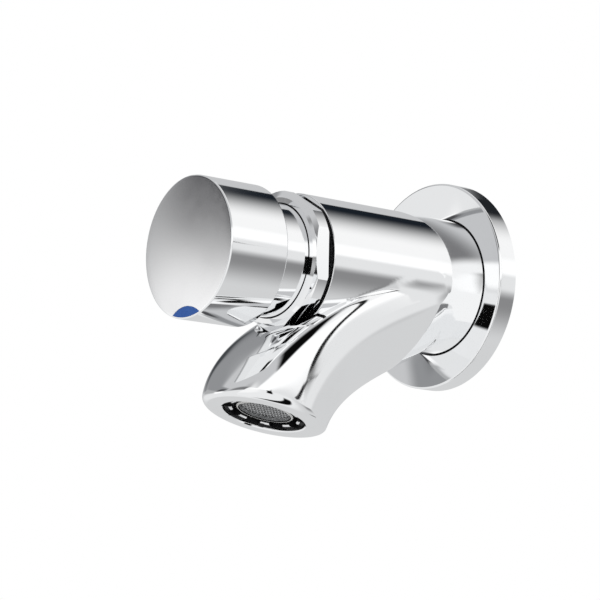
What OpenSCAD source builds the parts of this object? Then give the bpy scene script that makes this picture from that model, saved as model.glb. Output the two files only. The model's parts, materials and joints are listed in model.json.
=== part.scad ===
// Push timed tap for a basin, wall mounted and self closing.
// The wall is the plane Y = 0 and the origin lies on the body's axis. The tap points along -Y,
// its spout hangs towards -Z, and its inlet goes into the wall along +Y.
// Sizes along the axis are distances from the wall, positive towards the button.

/* [Body] */
// Diameter of the round body, and of the collar and the button in line with it
body_d = 42; // [41:0.5:45]
// Distance from the wall to the body's front face
body_front = 61.8; // [61:0.2:66]
// Distance from the wall to the body's rear shoulder, which holds the flange
body_back = 3.2; // [3.2:0.1:4]
// Round on the body's front edge
body_edge = 1; // [0.4:0.1:1.4]
// Diameter of the rear spigot inside the flange
spigot_d = 30; // [29:0.5:32]
// Diameter of the water chamber
chamber_d = 28.8; // [28.4:0.1:29.2]
// Distance from the wall to the floor of the water chamber
chamber_floor = 28; // [27:0.5:29]
// Diameter of the threaded bore that takes the head
head_thread_d = 31.5; // [31:0.1:32]
// Depth of the threaded bore from the body's front face
head_thread_depth = 14.8; // [13.5:0.1:15.5]

/* [Spout] */
// Distance from the wall to the middle of the outlet
outlet_out = 70.45; // [68:0.5:74]
// Drop from the body's axis to the middle of the outlet
outlet_drop = 46.7; // [45:0.5:54]
// Forward tilt of the outlet face, in degrees
outlet_tilt = 15.1; // [10:0.5:20]
// Outside diameter of the spout at the outlet
outlet_d = 37; // [35:0.5:39]
// Round on the outlet's outer edge
outlet_edge = 2; // [0.6:0.1:2.5]
// Half width of the spout half way along it
spout_side = 19.8; // [18.5:0.1:20.2]
// Height of the spout's flat top above its middle line, half way along it
spout_top = 9; // [8.5:0.1:12]
// Depth of the spout's round belly below its middle line, half way along it
spout_belly = 19.4; // [17.5:0.1:20]
// How square the spout's top is half way along it, where 2 is an ellipse
spout_square = 6.2; // [3:0.1:7]
// Radius of the waterway in the spout
waterway_r = 5; // [3.5:0.1:5]

/* [Wall flange] */
// Diameter of the wall flange
flange_d = 64.1; // [60:0.5:70]
// Height of the flange's rim off the wall
flange_rim = 6.5; // [5:0.1:8]
// Height of the flange's face at the body, at the bottom of its dish
flange_seat = 3; // [2.6:0.1:3]
// Round on the rim's front edge
flange_edge = 0.7; // [0.3:0.1:1]
// Width of the rim's land that rests on the wall
flange_land = 3.4; // [2.5:0.1:5]
// Thickness of the flange gasket
gasket_t = 1.3; // [0.8:0.1:1.4]

/* [Inlet] */
// Outside diameter of the inlet thread, a G 1/2
inlet_d = 20.96; // [20.5:0.02:21.2]
// Length of the inlet that goes into the wall
inlet_length = 16; // [12:0.5:24]
// Diameter of the nipple's bore
nipple_bore = 15.2; // [14:0.1:15.6]
// Depth that the nipple screws into the body
nipple_depth = 9.2; // [8:0.1:9.4]
// Diameter of the inlet chamber in front of the nipple
inlet_chamber_d = 16.8; // [16.4:0.1:17.2]
// Diameter of each hole in the strainer
strainer_hole = 1.3; // [0.8:0.1:1.5]

/* [Head] */
// Width across the flats of the hexagonal collar
collar_af = 39; // [37:0.5:40]
// Length of the collar
collar_length = 5.4; // [4.8:0.1:6]
// Length of the collar's front chamfer
collar_chamfer = 0.8; // [0.4:0.1:1.2]
// Diameter of the smooth neck that the button slides over
neck_d = 34; // [33:0.5:35]
// Distance from the wall to the neck's front end
neck_front = 86; // [84:0.5:87]
// Thickness of the gasket under the collar
collar_gasket_t = 1.1; // [0.6:0.05:1.4]
// Width of the gasket under the collar, from the threaded bore outwards
collar_gasket_w = 3.15; // [2.25:0.05:3.45]
// Bore of the dashpot cylinder inside the head
dashpot_d = 24; // [23:0.2:24.6]
// Distance from the wall to the dashpot's front wall
dashpot_front = 70; // [69.6:0.1:70.4]
// Thickness of the dashpot's front wall
dashpot_wall = 6; // [5.6:0.1:6.4]

/* [Button] */
// Distance from the wall to the button's face
button_front = 99.9; // [99.5:0.1:102]
// Length of the button
button_length = 20.9; // [19:0.1:22]
// Thickness of the button's face
button_face_t = 3.4; // [2.5:0.1:3.8]
// Bevel round the button's face
button_bevel = 0.6; // [0.3:0.1:1]
// Clear gap round the neck inside the button
button_gap = 0.35; // [0.3:0.05:0.5]
// Width of the blue mark at the bottom of the face
mark_w = 12.8; // [8:0.2:16]
// Height of the blue mark
mark_h = 3.1; // [2.4:0.1:4]
// Depth of the blue mark's inlay
mark_depth = 0.4; // [0.2:0.1:0.8]

/* [Plunger] */
// Length of the button's stroke
stroke = 8; // [6:0.5:8]
// Diameter of the stem through the front guide
stem_d = 8; // [7:0.2:8.4]
// Diameter of the stem behind the piston
stem_thin_d = 6; // [5:0.2:6]
// Length of the piston
piston_length = 7; // [6.5:0.1:7.2]
// Space in front of the piston at rest
piston_space = 1.5; // [1:0.1:2]
// Running clearance of the stem and the piston seal, on the radius
run_gap = 0.05; // [0.03:0.01:0.08]
// Diameter of the timing screw
timing_d = 3; // [2:0.1:3.2]

/* [Valve] */
// Bore of the valve seat
seat_bore = 10; // [9.4:0.1:10.6]
// Length of the valve seat
seat_length = 4; // [3:0.1:5]
// Diameter of the valve disc and its washer
valve_d = 14.4; // [13.8:0.1:14.6]
// Thickness of the rubber washer
washer_t = 1.4; // [1:0.1:1.8]
// Thickness of the brass disc
disc_t = 1.5; // [1:0.1:2]

/* [Spring] */
// Diameter of the spring wire
wire_d = 1.3; // [1:0.1:1.5]
// Middle diameter of the spring's turns
spring_d = 16.6; // [16:0.1:17]
// Number of turns in the spring
spring_turns = 8; // [6:1:9]

/* [Aerator] */
// Diameter of the outlet recess
recess_d = 24.8; // [24:0.1:25.2]
// Depth of the outlet recess
recess_depth = 10; // [9.5:0.1:10.5]
// Depth of the aerator's face inside the outlet
aerator_sink = 1; // [0.4:0.1:1.5]
// Number of notches round the aerator for its key
notches = 9; // [8:1:12]
// Width of each notch
notch_w = 4.4; // [3.6:0.1:4.8]
// Diameter of the mesh screen
screen_d = 15.2; // [14:0.1:16]
// Pitch of the mesh
mesh_pitch = 1.25; // [1.2:0.05:1.6]
// Width of the wires in the mesh
mesh_wire = 0.4; // [0.3:0.05:0.5]

/* [Hidden] */
$fn = 96;

// Thin gap between fixed pieces that touch
fit = 0.05;
// Gap that pieces which are only laid together keep
seam = 0.1;
// Overrun of a cut past the face that it goes through
cut = 1;

body_r = body_d / 2;
spigot_end = 0.4;
spigot_r = spigot_d / 2;
chamber_r = chamber_d / 2;
head_thread_r = head_thread_d / 2;
head_thread_start = body_front - head_thread_depth;

// Flange, which hangs on the spigot
flange_gap = 0.15;
flange_r = flange_d / 2;
flange_bore_r = spigot_r + flange_gap;
flange_land_r = flange_r - flange_land;
gasket_recess = gasket_t + seam;

// Inlet nipple, with a shank turned down where it screws into the body and a ledge for the regulator
shank_relief = 0.28;
nipple_ledge = 0.7;
nipple_stop = 5.2;
nipple_washer_t = 1;
inlet_r = inlet_d / 2;
nipple_shank_r = inlet_r - shank_relief;
nipple_bore_r = nipple_bore / 2;
nipple_stop_r = nipple_bore_r - nipple_ledge;
washer_seat = nipple_depth + nipple_washer_t + 2 * seam;
inlet_chamber_r = inlet_chamber_d / 2;
strainer_wall = 0.6;
strainer_depth = 4;
regulator_t = 4.4;
regulator_cone = 2;
regulator_hole_r = 1.3;

// Head: a screwed plug with the collar, the neck, the dashpot behind and a cup in front
head_clear = 0.6;
neck_wall = 3;
neck_chamfer = 0.6;
neck_fillet = 0.3;
collar_corner_r = body_r;
collar_back = body_front + collar_gasket_t;
collar_front = collar_back + collar_length;
neck_r = neck_d / 2;
dashpot_r = dashpot_d / 2;
head_back = head_thread_start + head_clear;
cup_floor = dashpot_front + dashpot_wall;
cup_r = neck_r - neck_wall;
o_ring_w = 1.6;
o_ring_space = 0.2;
ring_slack = 0.02;
o_ring_groove = head_back + 2;
o_ring_groove_end = o_ring_groove + o_ring_w + 2 * o_ring_space;
guide_web = 0.4;
bush_wall = 2.5;
stem_ring_w = 2.2;

// Button, with a boss inside that the stem screws into
boss_length = 5.5;
boss_r = 5.2;
stem_space = 0.7;
button_r = body_r;
button_back = button_front - button_length;
button_ceiling = button_front - button_face_t;
button_bore_r = neck_r + button_gap;
face_r = button_r - button_bevel;
boss_back = button_ceiling - boss_length;

// Stem and what it carries in the dashpot
tip_step = 1;
piston_gap = 0.4;
seal_w = 2.2;
seal_land = 2;
spring_boss = 1.9;
spring_fit = 0.35;
clip_t = 0.8;
clip_r = 5;
clip_bite = 0.5;
clip_space = 0.3;
button_nut_h = 2.5;
button_nut_r = 5.6;
timing_out = 6.4;
bleed_r = 0.5;
stem_r = stem_d / 2;
thin_r = stem_thin_d / 2;
tip_r = thin_r - tip_step;
bush_r = stem_r + bush_wall;
piston_front = dashpot_front - piston_space;
piston_back = piston_front - piston_length;
piston_r = dashpot_r - piston_gap;
seal_r = dashpot_r - run_gap;
groove_r = dashpot_r - seal_w;
groove_back = piston_back + seal_land;
groove_front = piston_front - seal_land;
spring_boss_r = (spring_d - wire_d) / 2 - spring_fit;
clip_back = piston_back - clip_t - seam - fit;
nut_shoulder = boss_back - button_nut_h - 2 * seam;
stem_front = button_ceiling - stem_space;
timing_r = timing_d / 2;

// Valve, which closes on the inlet side of its seat
seat_lip = 0.6;
seat_step = 0.6;
valve_nut_h = 2.4;
valve_nut_r = 4;
stem_proud = 0.5;
seat_r = inlet_chamber_r + seat_step;
seat_back = chamber_floor - seat_length;
washer_front = seat_back - seat_lip - seam;
disc_front = washer_front - washer_t;
disc_back = disc_front - disc_t;
stem_end = disc_back - valve_nut_h - stem_proud;

// Spring and its cage, with the first and last turn of the spring nearly closed
cage_stand = 4;
cage_floor_t = 2;
cage_wall = 1.6;
stroke_spare = 0.5;
cage_r = dashpot_r - seam;
cage_back = chamber_floor + cage_stand;
cage_floor = cage_back + cage_floor_t;
cage_front = piston_back - stroke - stroke_spare;
spring_steps = 16;
wire_sides = 6;
closed_rise = wire_d + 0.5;
spring_back = cage_floor + wire_d / 2 + seam;
spring_front = piston_back - wire_d / 2 - seam;
spring_span = spring_front - spring_back;
open_rise = (spring_span - 2 * closed_rise) / (spring_turns - 2);

// Spout, with its middle line as a curve from the outlet to a root that lies inside the body,
// given as [distance from the wall, height]
root = [16.9, -4.8];
root_slope = 36;
root_side = body_r - 1.1;
root_top = 15.5;
root_belly = 16;
root_square = 2.3;
outlet_pull = 30.8;
root_pull = 8.6;
spout_rings = 26;
spout_sides = 48;
outlet_r = outlet_d / 2;
outlet_at = [outlet_out, -outlet_drop];
outlet_up = [-sin(outlet_tilt), cos(outlet_tilt)];
root_in = [-cos(root_slope), sin(root_slope)];
spout_curve = [
    outlet_at, outlet_at + outlet_pull * outlet_up, root - root_pull * root_in, root
];

// Room for the collar in front of the spout, and the waterway with its bend behind the recess
collar_room = 0.7;
bend_space = 4;
collar_clear = collar_corner_r + collar_room;
recess_r = recess_d / 2;
bend = outlet_at + (recess_depth + bend_space) * outlet_up;
waterway_in = [chamber_floor + 3, -(chamber_r - 2)];

// Aerator, measured inwards from the outlet face
aerator_seal_t = 1;
seal_overlap = 1.4;
tooth_w = 2.5;
tooth_depth = 1.6;
screen_t = 0.5;
screen_rim = 0.5;
aerator_r = recess_r - seam;
aerator_back = recess_depth - aerator_seal_t;
tooth_r = recess_r - tooth_w;
screen_r = screen_d / 2;
screen_at = aerator_sink + 1.6;
insert_r = tooth_r - seam;

chrome_colour = [0.80, 0.82, 0.84];
brass_colour = [0.80, 0.66, 0.36];
rubber_colour = [0.10, 0.10, 0.11];
plastic_colour = [0.86, 0.86, 0.84];
steel_colour = [0.62, 0.63, 0.65];
blue_colour = [0.16, 0.36, 0.72];

// Points of an arc about [cx, cy], from angle a to angle b
function arc(cx, cy, r, a, b, n = 6) =
    [for (i = [0:n]) [cx + r * cos(a + (b - a) * i / n), cy + r * sin(a + (b - a) * i / n)]];

// Point and direction of a curve with four control points
function on_curve(c, t) =
    pow(1 - t, 3) * c[0] + 3 * t * pow(1 - t, 2) * c[1] + 3 * t * t * (1 - t) * c[2] + pow(t, 3) * c[3];
function along_curve(c, t) =
    pow(1 - t, 2) * (c[1] - c[0]) + 2 * t * (1 - t) * (c[2] - c[1]) + t * t * (c[3] - c[2]);

// Smooth change from a to b that passes m half way
function through(a, m, b, t) =
    a * pow(1 - t, 2) + (2 * m - (a + b) / 2) * 2 * t * (1 - t) + b * t * t;

// Power that keeps the sign
function signed_pow(v, p) = sign(v) * pow(abs(v), p);

// Puts what stands along +Z on the tap's axis, pointing away from the wall
module from_wall() {
    rotate([90, 0, 0]) children();
}

// Puts what stands along +Z at the outlet, pointing the way that the water leaves, before from_wall()
module at_outlet() {
    translate([0, outlet_at[1], outlet_at[0]])
        rotate([90 - outlet_tilt, 0, 0])
            children();
}

// Turned piece: points are [radius, distance along the axis]
module turned(points) {
    rotate_extrude() polygon(points);
}

// Plain tube from one distance to another
module tube(outer, inner, from, to) {
    turned([[inner, from], [outer, from], [outer, to], [inner, to]]);
}

// Solid rod from one distance to another
module rod(r, from, to) {
    translate([0, 0, from]) cylinder(r = r, h = to - from);
}

// Rubber ring of round section, set on the axis
module o_ring(mid_r, section_r, at) {
    translate([0, 0, at])
        rotate_extrude()
            translate([mid_r, 0]) circle(r = section_r, $fn = 24);
}

// Hexagon nut without its thread
module nut(across_corners_r, inner_r, from, to) {
    translate([0, 0, from])
        difference() {
            cylinder(r = across_corners_r, h = to - from, $fn = 6);
            translate([0, 0, -cut]) cylinder(r = inner_r, h = to - from + 2 * cut);
        }
}

// Drilled passage in the middle plane, from a to a little past b, each [distance from the wall, height]
module passage(a, b, r) {
    d = b - a;
    translate([0, a[1], a[0]])
        rotate([atan2(-d[1], d[0]), 0, 0])
            cylinder(r = r, h = norm(d) + r / 2);
}

// One ring of the spout's section at t along its middle line
function spout_ring(t, size) =
    let (
        at = on_curve(spout_curve, t),
        way = along_curve(spout_curve, t),
        up = [way[1], -way[0]] / norm(way),
        side = through(outlet_r, spout_side, root_side, t) * size,
        top = through(outlet_r, spout_top, root_top, t) * size,
        belly = through(outlet_r, spout_belly, root_belly, t) * size,
        square = through(2, spout_square, root_square, t)
    )
    [
        for (i = [0:spout_sides - 1])
            let (
                a = 360 * i / spout_sides,
                p = sin(a) > 0 ? 2 / square : 1,
                x = side * signed_pow(cos(a), p),
                n = (sin(a) > 0 ? top : belly) * signed_pow(sin(a), p)
            )
            [x, at[1] + n * up[1], at[0] + n * up[0]]
    ];

// Spout: a round belly and a flat top, lofted from the outlet to a root inside the body
module spout_form() {
    edge_t = outlet_edge / (3 * outlet_pull);
    round_edge = [
        for (a = [0:18:72])
            [edge_t * (1 - cos(a)), 1 - outlet_edge * (1 - sin(a)) / outlet_r]
    ];
    stations = concat(
        round_edge,
        [for (i = [0:spout_rings]) [edge_t + (1 - edge_t) * i / spout_rings, 1]]
    );
    rings = [for (s = stations) spout_ring(s[0], s[1])];
    n = spout_sides;
    last = len(rings) - 1;
    points = concat([for (r = rings) each r], [[0, outlet_at[1], outlet_at[0]], [0, root[1], root[0]]]);
    polyhedron(
        points = points,
        faces = concat(
            [
                for (k = [0:last - 1], i = [0:n - 1])
                    each [
                        [k * n + i, k * n + (i + 1) % n, (k + 1) * n + i],
                        [k * n + (i + 1) % n, (k + 1) * n + (i + 1) % n, (k + 1) * n + i]
                    ]
            ],
            [for (i = [0:n - 1]) [len(points) - 2, (i + 1) % n, i]],
            [for (i = [0:n - 1]) [len(points) - 1, last * n + i, last * n + (i + 1) % n]]
        )
    );
}

module tap_body() color(chrome_colour) from_wall() {
    difference() {
        union() {
            turned(concat(
                [[0, spigot_end], [spigot_r, spigot_end], [spigot_r, body_back], [body_r, body_back]],
                arc(body_r - body_edge, body_front - body_edge, body_edge, 0, 90),
                [[0, body_front]]
            ));
            difference() {
                spout_form();
                // Room for the collar and the button in front of the body
                rod(collar_clear, body_front, button_front);
            }
        }
        // Inlet thread, inlet chamber, seat, water chamber and the head's thread
        rod(nipple_shank_r + fit, -cut, washer_seat);
        rod(inlet_chamber_r, washer_seat - cut, seat_back + cut);
        rod(seat_r, seat_back, chamber_floor + cut);
        rod(chamber_r, chamber_floor, body_front);
        rod(head_thread_r, head_thread_start, body_front + cut);
        // Waterway down the spout and the recess that takes the aerator
        passage(waterway_in, bend, waterway_r);
        passage(outlet_at, bend, waterway_r);
        at_outlet() rod(recess_r, -recess_depth, waterway_r);
    }
}

module wall_flange() color(chrome_colour) from_wall() {
    turned(concat(
        [[flange_bore_r, gasket_recess], [flange_land_r, gasket_recess], [flange_land_r, 0], [flange_r, 0]],
        arc(flange_r - flange_edge, flange_rim - flange_edge, flange_edge, 0, 90),
        [[body_r + 0.4, flange_seat], [flange_bore_r, flange_seat]]
    ));
}

module flange_gasket() color(rubber_colour) from_wall() {
    tube(flange_land_r - seam, flange_bore_r + seam, 0, gasket_t);
}

module inlet_nipple() color(brass_colour) from_wall() {
    chamfer = 0.8;
    turned([
        [nipple_bore_r, -inlet_length],
        [inlet_r - chamfer, -inlet_length],
        [inlet_r, -inlet_length + chamfer],
        [inlet_r, 0.3],
        [nipple_shank_r, 0.3],
        [nipple_shank_r, nipple_depth],
        [nipple_stop_r, nipple_depth],
        [nipple_stop_r, nipple_stop],
        [nipple_bore_r, nipple_stop]
    ]);
}

module nipple_washer() color(rubber_colour) from_wall() {
    tube(nipple_shank_r, inlet_chamber_r, nipple_depth + seam, washer_seat - seam);
}

// Round cup of pierced plate in the inlet's mouth
module inlet_strainer() color(steel_colour) from_wall() {
    outer = nipple_bore_r - fit;
    mouth = -inlet_length + 0.4;
    pitch = 1.55 * strainer_hole;
    rings = floor((outer - strainer_wall - strainer_hole / 2 - seam) / pitch);
    end = mouth + strainer_depth;
    difference() {
        rod(outer, mouth, end);
        rod(outer - strainer_wall, mouth - cut, end - strainer_wall);
        rod(strainer_hole / 2, mouth, end + cut, $fn = 16);
        for (k = [1:rings], i = [0:6 * k - 1])
            rotate([0, 0, 60 * i / k])
                translate([pitch * k, 0, 0])
                    rod(strainer_hole / 2, mouth, end + cut, $fn = 16);
    }
}

// Disc with six holes and a cone that spreads the flow
module flow_regulator() color(plastic_colour) from_wall() {
    outer = nipple_bore_r - fit;
    front = nipple_stop - seam;
    back = front - regulator_t;
    hole_ring = outer - 2.2 * regulator_hole_r;
    difference() {
        union() {
            rod(outer, back, front);
            translate([0, 0, back - regulator_cone])
                cylinder(r1 = 1, r2 = 2 * regulator_hole_r, h = regulator_cone + fit);
        }
        for (i = [0:5])
            rotate([0, 0, 60 * i])
                translate([hole_ring, 0, 0])
                    rod(regulator_hole_r, back - cut, front + cut);
    }
}

// Screwed seat with a narrow lip on its inlet side
module valve_seat() color(brass_colour) from_wall() {
    bore = seat_bore / 2;
    lip_w = 0.8;
    turned([
        [bore, seat_back - seat_lip],
        [bore + lip_w, seat_back - seat_lip],
        [bore + 1.5 * lip_w, seat_back],
        [seat_r - fit, seat_back],
        [seat_r - fit, chamber_floor],
        [bore, chamber_floor]
    ]);
}

// Hexagonal collar with its flats to the sides and its corners turned round
module collar_form() {
    back_chamfer = 0.4;
    intersection() {
        translate([0, 0, collar_back])
            rotate([0, 0, 30])
                cylinder(r = collar_af / 2 / cos(30), h = collar_length, $fn = 6);
        turned([
            [0, collar_back],
            [collar_corner_r - back_chamfer, collar_back],
            [collar_corner_r, collar_back + back_chamfer],
            [collar_corner_r, collar_front - 1.9 * collar_chamfer],
            [collar_af / 2, collar_front - collar_chamfer],
            [neck_r + neck_fillet, collar_front],
            [0, collar_front]
        ]);
    }
}

module head_collar() color(chrome_colour) from_wall() {
    difference() {
        union() {
            collar_form();
            rod(head_thread_r - fit, head_back, collar_back + cut);
            turned([
                [0, collar_back],
                [neck_r, collar_back],
                [neck_r, neck_front - neck_chamfer],
                [neck_r - neck_chamfer, neck_front],
                [0, neck_front]
            ]);
        }
        rod(dashpot_r, head_back - cut, dashpot_front);
        rod(cup_r, cup_floor, neck_front + cut);
        rod(stem_r + guide_web, dashpot_front - cut, cup_floor);
        rod(bush_r + fit, dashpot_front + guide_web, cup_floor + cut);
        tube(head_thread_r + cut, head_thread_r - o_ring_w, o_ring_groove, o_ring_groove_end);
    }
}

module collar_gasket() color(rubber_colour) from_wall() {
    tube(head_thread_r + collar_gasket_w, head_thread_r, body_front, collar_back);
}

module head_o_ring() color(rubber_colour) from_wall() {
    section = o_ring_w / 2;
    o_ring(head_thread_r - section, section - ring_slack, o_ring_groove + o_ring_space + section);
}

module guide_bush() color(plastic_colour) from_wall() {
    tube(bush_r, stem_r + run_gap, dashpot_front + guide_web + stem_ring_w + seam, cup_floor - seam);
}

module stem_o_ring() color(rubber_colour) from_wall() {
    section = stem_ring_w / 2;
    back = dashpot_front + guide_web + fit;
    o_ring(stem_r + section + run_gap + fit, section - ring_slack, back + section);
}

// Cage that carries the spring behind the dashpot and guides the stem
module spring_cage() color(plastic_colour) from_wall() {
    window_w = 8;
    window_from = cage_floor + 2;
    window_to = head_back - 1.5;
    drain_r = 1.4;
    drain_ring = thin_r + drain_r + 1.2;
    difference() {
        rod(cage_r, cage_back, cage_front);
        rod(cage_r - cage_wall, cage_floor, cage_front + cut);
        rod(thin_r + run_gap, cage_back - cut, cage_front);
        for (a = [0:90:270])
            rotate([0, 0, a]) {
                translate([drain_ring, 0, 0]) rod(drain_r, cage_back - cut, cage_floor + cut);
                translate([0, -window_w / 2, window_from])
                    cube([cage_r + cut, window_w, window_to - window_from]);
            }
    }
}

// Height of the spring's wire above its rear end, by turns
function spring_height(turn) =
    turn < 1 ? closed_rise * turn
    : turn > spring_turns - 1 ? spring_span - closed_rise * (spring_turns - turn)
    : closed_rise + open_rise * (turn - 1);

module return_spring() color(steel_colour) from_wall() {
    n = wire_sides;
    last = spring_turns * spring_steps;
    rings = [
        for (k = [0:last])
            let (a = 360 * k / spring_steps, h = spring_back + spring_height(k / spring_steps))
            [
                for (i = [0:n - 1])
                    let (b = 360 * i / n, r = (spring_d + wire_d * cos(b)) / 2)
                    [r * cos(a), r * sin(a), h + wire_d / 2 * sin(b)]
            ]
    ];
    polyhedron(
        points = [for (r = rings) each r],
        faces = concat(
            [
                for (k = [0:last - 1], i = [0:n - 1])
                    each [
                        [k * n + i, k * n + (i + 1) % n, (k + 1) * n + i],
                        [k * n + (i + 1) % n, (k + 1) * n + (i + 1) % n, (k + 1) * n + i]
                    ]
            ],
            [for (i = [1:n - 2]) [0, i + 1, i]],
            [for (i = [1:n - 2]) [last * n, last * n + i, last * n + i + 1]]
        )
    );
}

// Stem: thin end for the valve, shoulder for the piston, thick guide and a threaded front end
module stem() color(brass_colour) from_wall() {
    groove_from = clip_back - fit;
    groove_to = piston_back - seam;
    turned([
        [0, stem_end],
        [tip_r, stem_end],
        [tip_r, washer_front],
        [thin_r, washer_front],
        [thin_r, groove_from],
        [thin_r - clip_bite, groove_from],
        [thin_r - clip_bite, groove_to],
        [thin_r, groove_to],
        [thin_r, piston_front],
        [stem_r, piston_front],
        [stem_r, nut_shoulder],
        [thin_r, nut_shoulder],
        [thin_r, stem_front],
        [0, stem_front]
    ]);
}

module piston() color(plastic_colour) from_wall() {
    difference() {
        turned([
            [thin_r + fit, piston_back],
            [clip_r + clip_space, piston_back],
            [clip_r + clip_space, piston_back - spring_boss],
            [spring_boss_r, piston_back - spring_boss],
            [spring_boss_r, piston_back],
            [piston_r, piston_back],
            [piston_r, groove_back],
            [groove_r, groove_back],
            [groove_r, groove_front],
            [piston_r, groove_front],
            [piston_r, piston_front],
            [thin_r + fit, piston_front]
        ]);
        translate([timing_out, 0, 0]) {
            rod(timing_r + fit, piston_back + seal_land, piston_front + cut);
            rod(bleed_r, piston_back - spring_boss - cut, piston_front, $fn = 24);
        }
    }
}

// Lip seal: a ring with a V cut into its rear side
module piston_seal() color(rubber_colour) from_wall() {
    inner = groove_r + fit;
    middle = (inner + seal_r) / 2;
    back = groove_back + seam;
    v_half = 0.6;
    v_depth = 1.1;
    lip_h = 0.9;
    waist = 0.25;
    turned([
        [inner, back],
        [middle - v_half, back],
        [middle, back + v_depth],
        [middle + v_half, back],
        [seal_r, back],
        [seal_r, back + lip_h],
        [seal_r - waist, groove_front - seam],
        [inner, groove_front - seam]
    ]);
}

module timing_screw() color(brass_colour) from_wall() {
    back = groove_back;
    head = piston_front - seam;
    slot_w = 0.5;
    slot_depth = 0.8;
    translate([timing_out, 0, 0])
        difference() {
            rod(timing_r, back + seam, head);
            translate([-timing_r - cut, -slot_w / 2, head - slot_depth])
                cube([timing_d + 2 * cut, slot_w, slot_depth + cut]);
            rod(bleed_r, back - cut, head + cut, $fn = 24);
        }
}

// Retaining clip behind the piston, open on one side
module piston_clip() color(steel_colour) from_wall() {
    mouth = 2.8;
    difference() {
        tube(clip_r, thin_r - clip_bite + fit, clip_back, clip_back + clip_t);
        translate([0, -mouth / 2, clip_back - cut]) cube([clip_r + cut, mouth, clip_t + 2 * cut]);
    }
}

module valve_washer() color(rubber_colour) from_wall() {
    tube(valve_d / 2, tip_r + fit, disc_front, washer_front);
}

module valve_disc() color(brass_colour) from_wall() {
    tube(valve_d / 2 - 2 * seam, tip_r + fit, disc_back, disc_front);
}

module valve_nut() color(brass_colour) from_wall() {
    nut(valve_nut_r, tip_r + fit / 2, disc_back - valve_nut_h, disc_back);
}

module button_nut() color(brass_colour) from_wall() {
    nut(button_nut_r, thin_r + fit, nut_shoulder + seam, boss_back - seam);
}

// Outline of the blue mark: a lens between the face's edge and a rounder arc
module mark_outline(grow = 0) {
    rim = face_r - 0.1;
    corner = sqrt(rim * rim - mark_w * mark_w / 4);
    rise = mark_h - (rim - corner);
    upper_r = (mark_w * mark_w / 4 + rise * rise) / (2 * rise);
    intersection() {
        circle(r = rim + grow, $fn = 192);
        translate([0, rise - corner - upper_r]) circle(r = upper_r + grow, $fn = 96);
    }
}

module push_button() color(chrome_colour) from_wall() {
    rim_chamfer = 0.4;
    mouth_chamfer = 0.6;
    socket_end = stem_front + 2 * seam;
    difference() {
        turned([
            [0, button_front],
            [face_r, button_front],
            [button_r, button_front - button_bevel],
            [button_r, button_back + rim_chamfer],
            [button_r - rim_chamfer, button_back],
            [button_bore_r + mouth_chamfer, button_back],
            [button_bore_r, button_back + mouth_chamfer],
            [button_bore_r, button_ceiling],
            [boss_r, button_ceiling],
            [boss_r, boss_back],
            [thin_r + fit, boss_back],
            [thin_r + fit, socket_end],
            [0, socket_end]
        ]);
        translate([0, 0, button_front - mark_depth])
            linear_extrude(height = mark_depth + cut) mark_outline(fit);
    }
}

module cold_mark() color(blue_colour) from_wall() {
    translate([0, 0, button_front - mark_depth])
        linear_extrude(height = mark_depth) mark_outline();
}

// Screwed ring that holds the aerator, notched for its key
module aerator_housing() color(steel_colour) from_wall() at_outlet() {
    chamfer = 0.3;
    outer_wall = 0.7;
    difference() {
        turned([
            [tooth_r, -aerator_back],
            [aerator_r, -aerator_back],
            [aerator_r, -aerator_sink - chamfer],
            [aerator_r - chamfer, -aerator_sink],
            [tooth_r, -aerator_sink]
        ]);
        for (i = [0:notches - 1])
            rotate([0, 0, 360 * i / notches])
                translate([tooth_r - cut, -notch_w / 2, -aerator_sink - tooth_depth])
                    cube([aerator_r - outer_wall - tooth_r + cut, notch_w, tooth_depth + cut]);
    }
}

module aerator_seal() color(rubber_colour) from_wall() at_outlet() {
    tube(aerator_r, insert_r - seal_overlap, -recess_depth, -aerator_back);
}

// Plastic cup with a jet plate at its back
module aerator_insert() color(plastic_colour) from_wall() at_outlet() {
    plate = -aerator_back + 1.2;
    face = -aerator_sink - 0.4;
    ledge = -screen_at - screen_t - seam;
    jet_ring = 2.6;
    jet_r = 0.6;
    difference() {
        turned([
            [0, -aerator_back],
            [insert_r, -aerator_back],
            [insert_r, face],
            [screen_r + seam, face],
            [screen_r + seam, ledge],
            [screen_r - screen_rim, ledge],
            [screen_r - screen_rim, plate],
            [0, plate]
        ]);
        for (k = [1:2], i = [0:8 * k - 1])
            rotate([0, 0, 45 * i / k])
                translate([jet_ring * k, 0, 0])
                    rod(jet_r, -aerator_back - cut, plate + cut, $fn = 16);
    }
}

// Flat mesh of square gaps inside a plain rim
module aerator_screen() color(steel_colour) from_wall() at_outlet() {
    count = floor(screen_r / mesh_pitch);
    gap = mesh_pitch - mesh_wire;
    half_diagonal = gap / sqrt(2);
    translate([0, 0, -screen_at - screen_t])
        linear_extrude(height = screen_t)
            difference() {
                circle(r = screen_r);
                for (i = [-count:count], j = [-count:count])
                    if (norm([i, j]) * mesh_pitch + half_diagonal < screen_r - screen_rim)
                        translate([i * mesh_pitch, j * mesh_pitch]) square(gap, center = true);
            }
}

wall_flange();
flange_gasket();
tap_body();
inlet_nipple();
nipple_washer();
inlet_strainer();
flow_regulator();
valve_seat();
head_collar();
collar_gasket();
head_o_ring();
guide_bush();
stem_o_ring();
spring_cage();
return_spring();
stem();
piston();
piston_seal();
timing_screw();
piston_clip();
valve_washer();
valve_disc();
valve_nut();
push_button();
cold_mark();
button_nut();
aerator_housing();
aerator_seal();
aerator_insert();
aerator_screen();
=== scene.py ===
# %% [markdown]
# # A push timed tap, finished in Blender
# The construction is already there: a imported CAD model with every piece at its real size.
# This lesson gives it its looks. The visible pieces are modelled again with smooth surfaces and
# eased edges, the pieces inside keep their CAD meshes, and each one gets a finish of its own.
# Everything is in metres. The wall is the plane Y = 0, the tap points along -Y and +Z is up.

import json
import math

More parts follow.
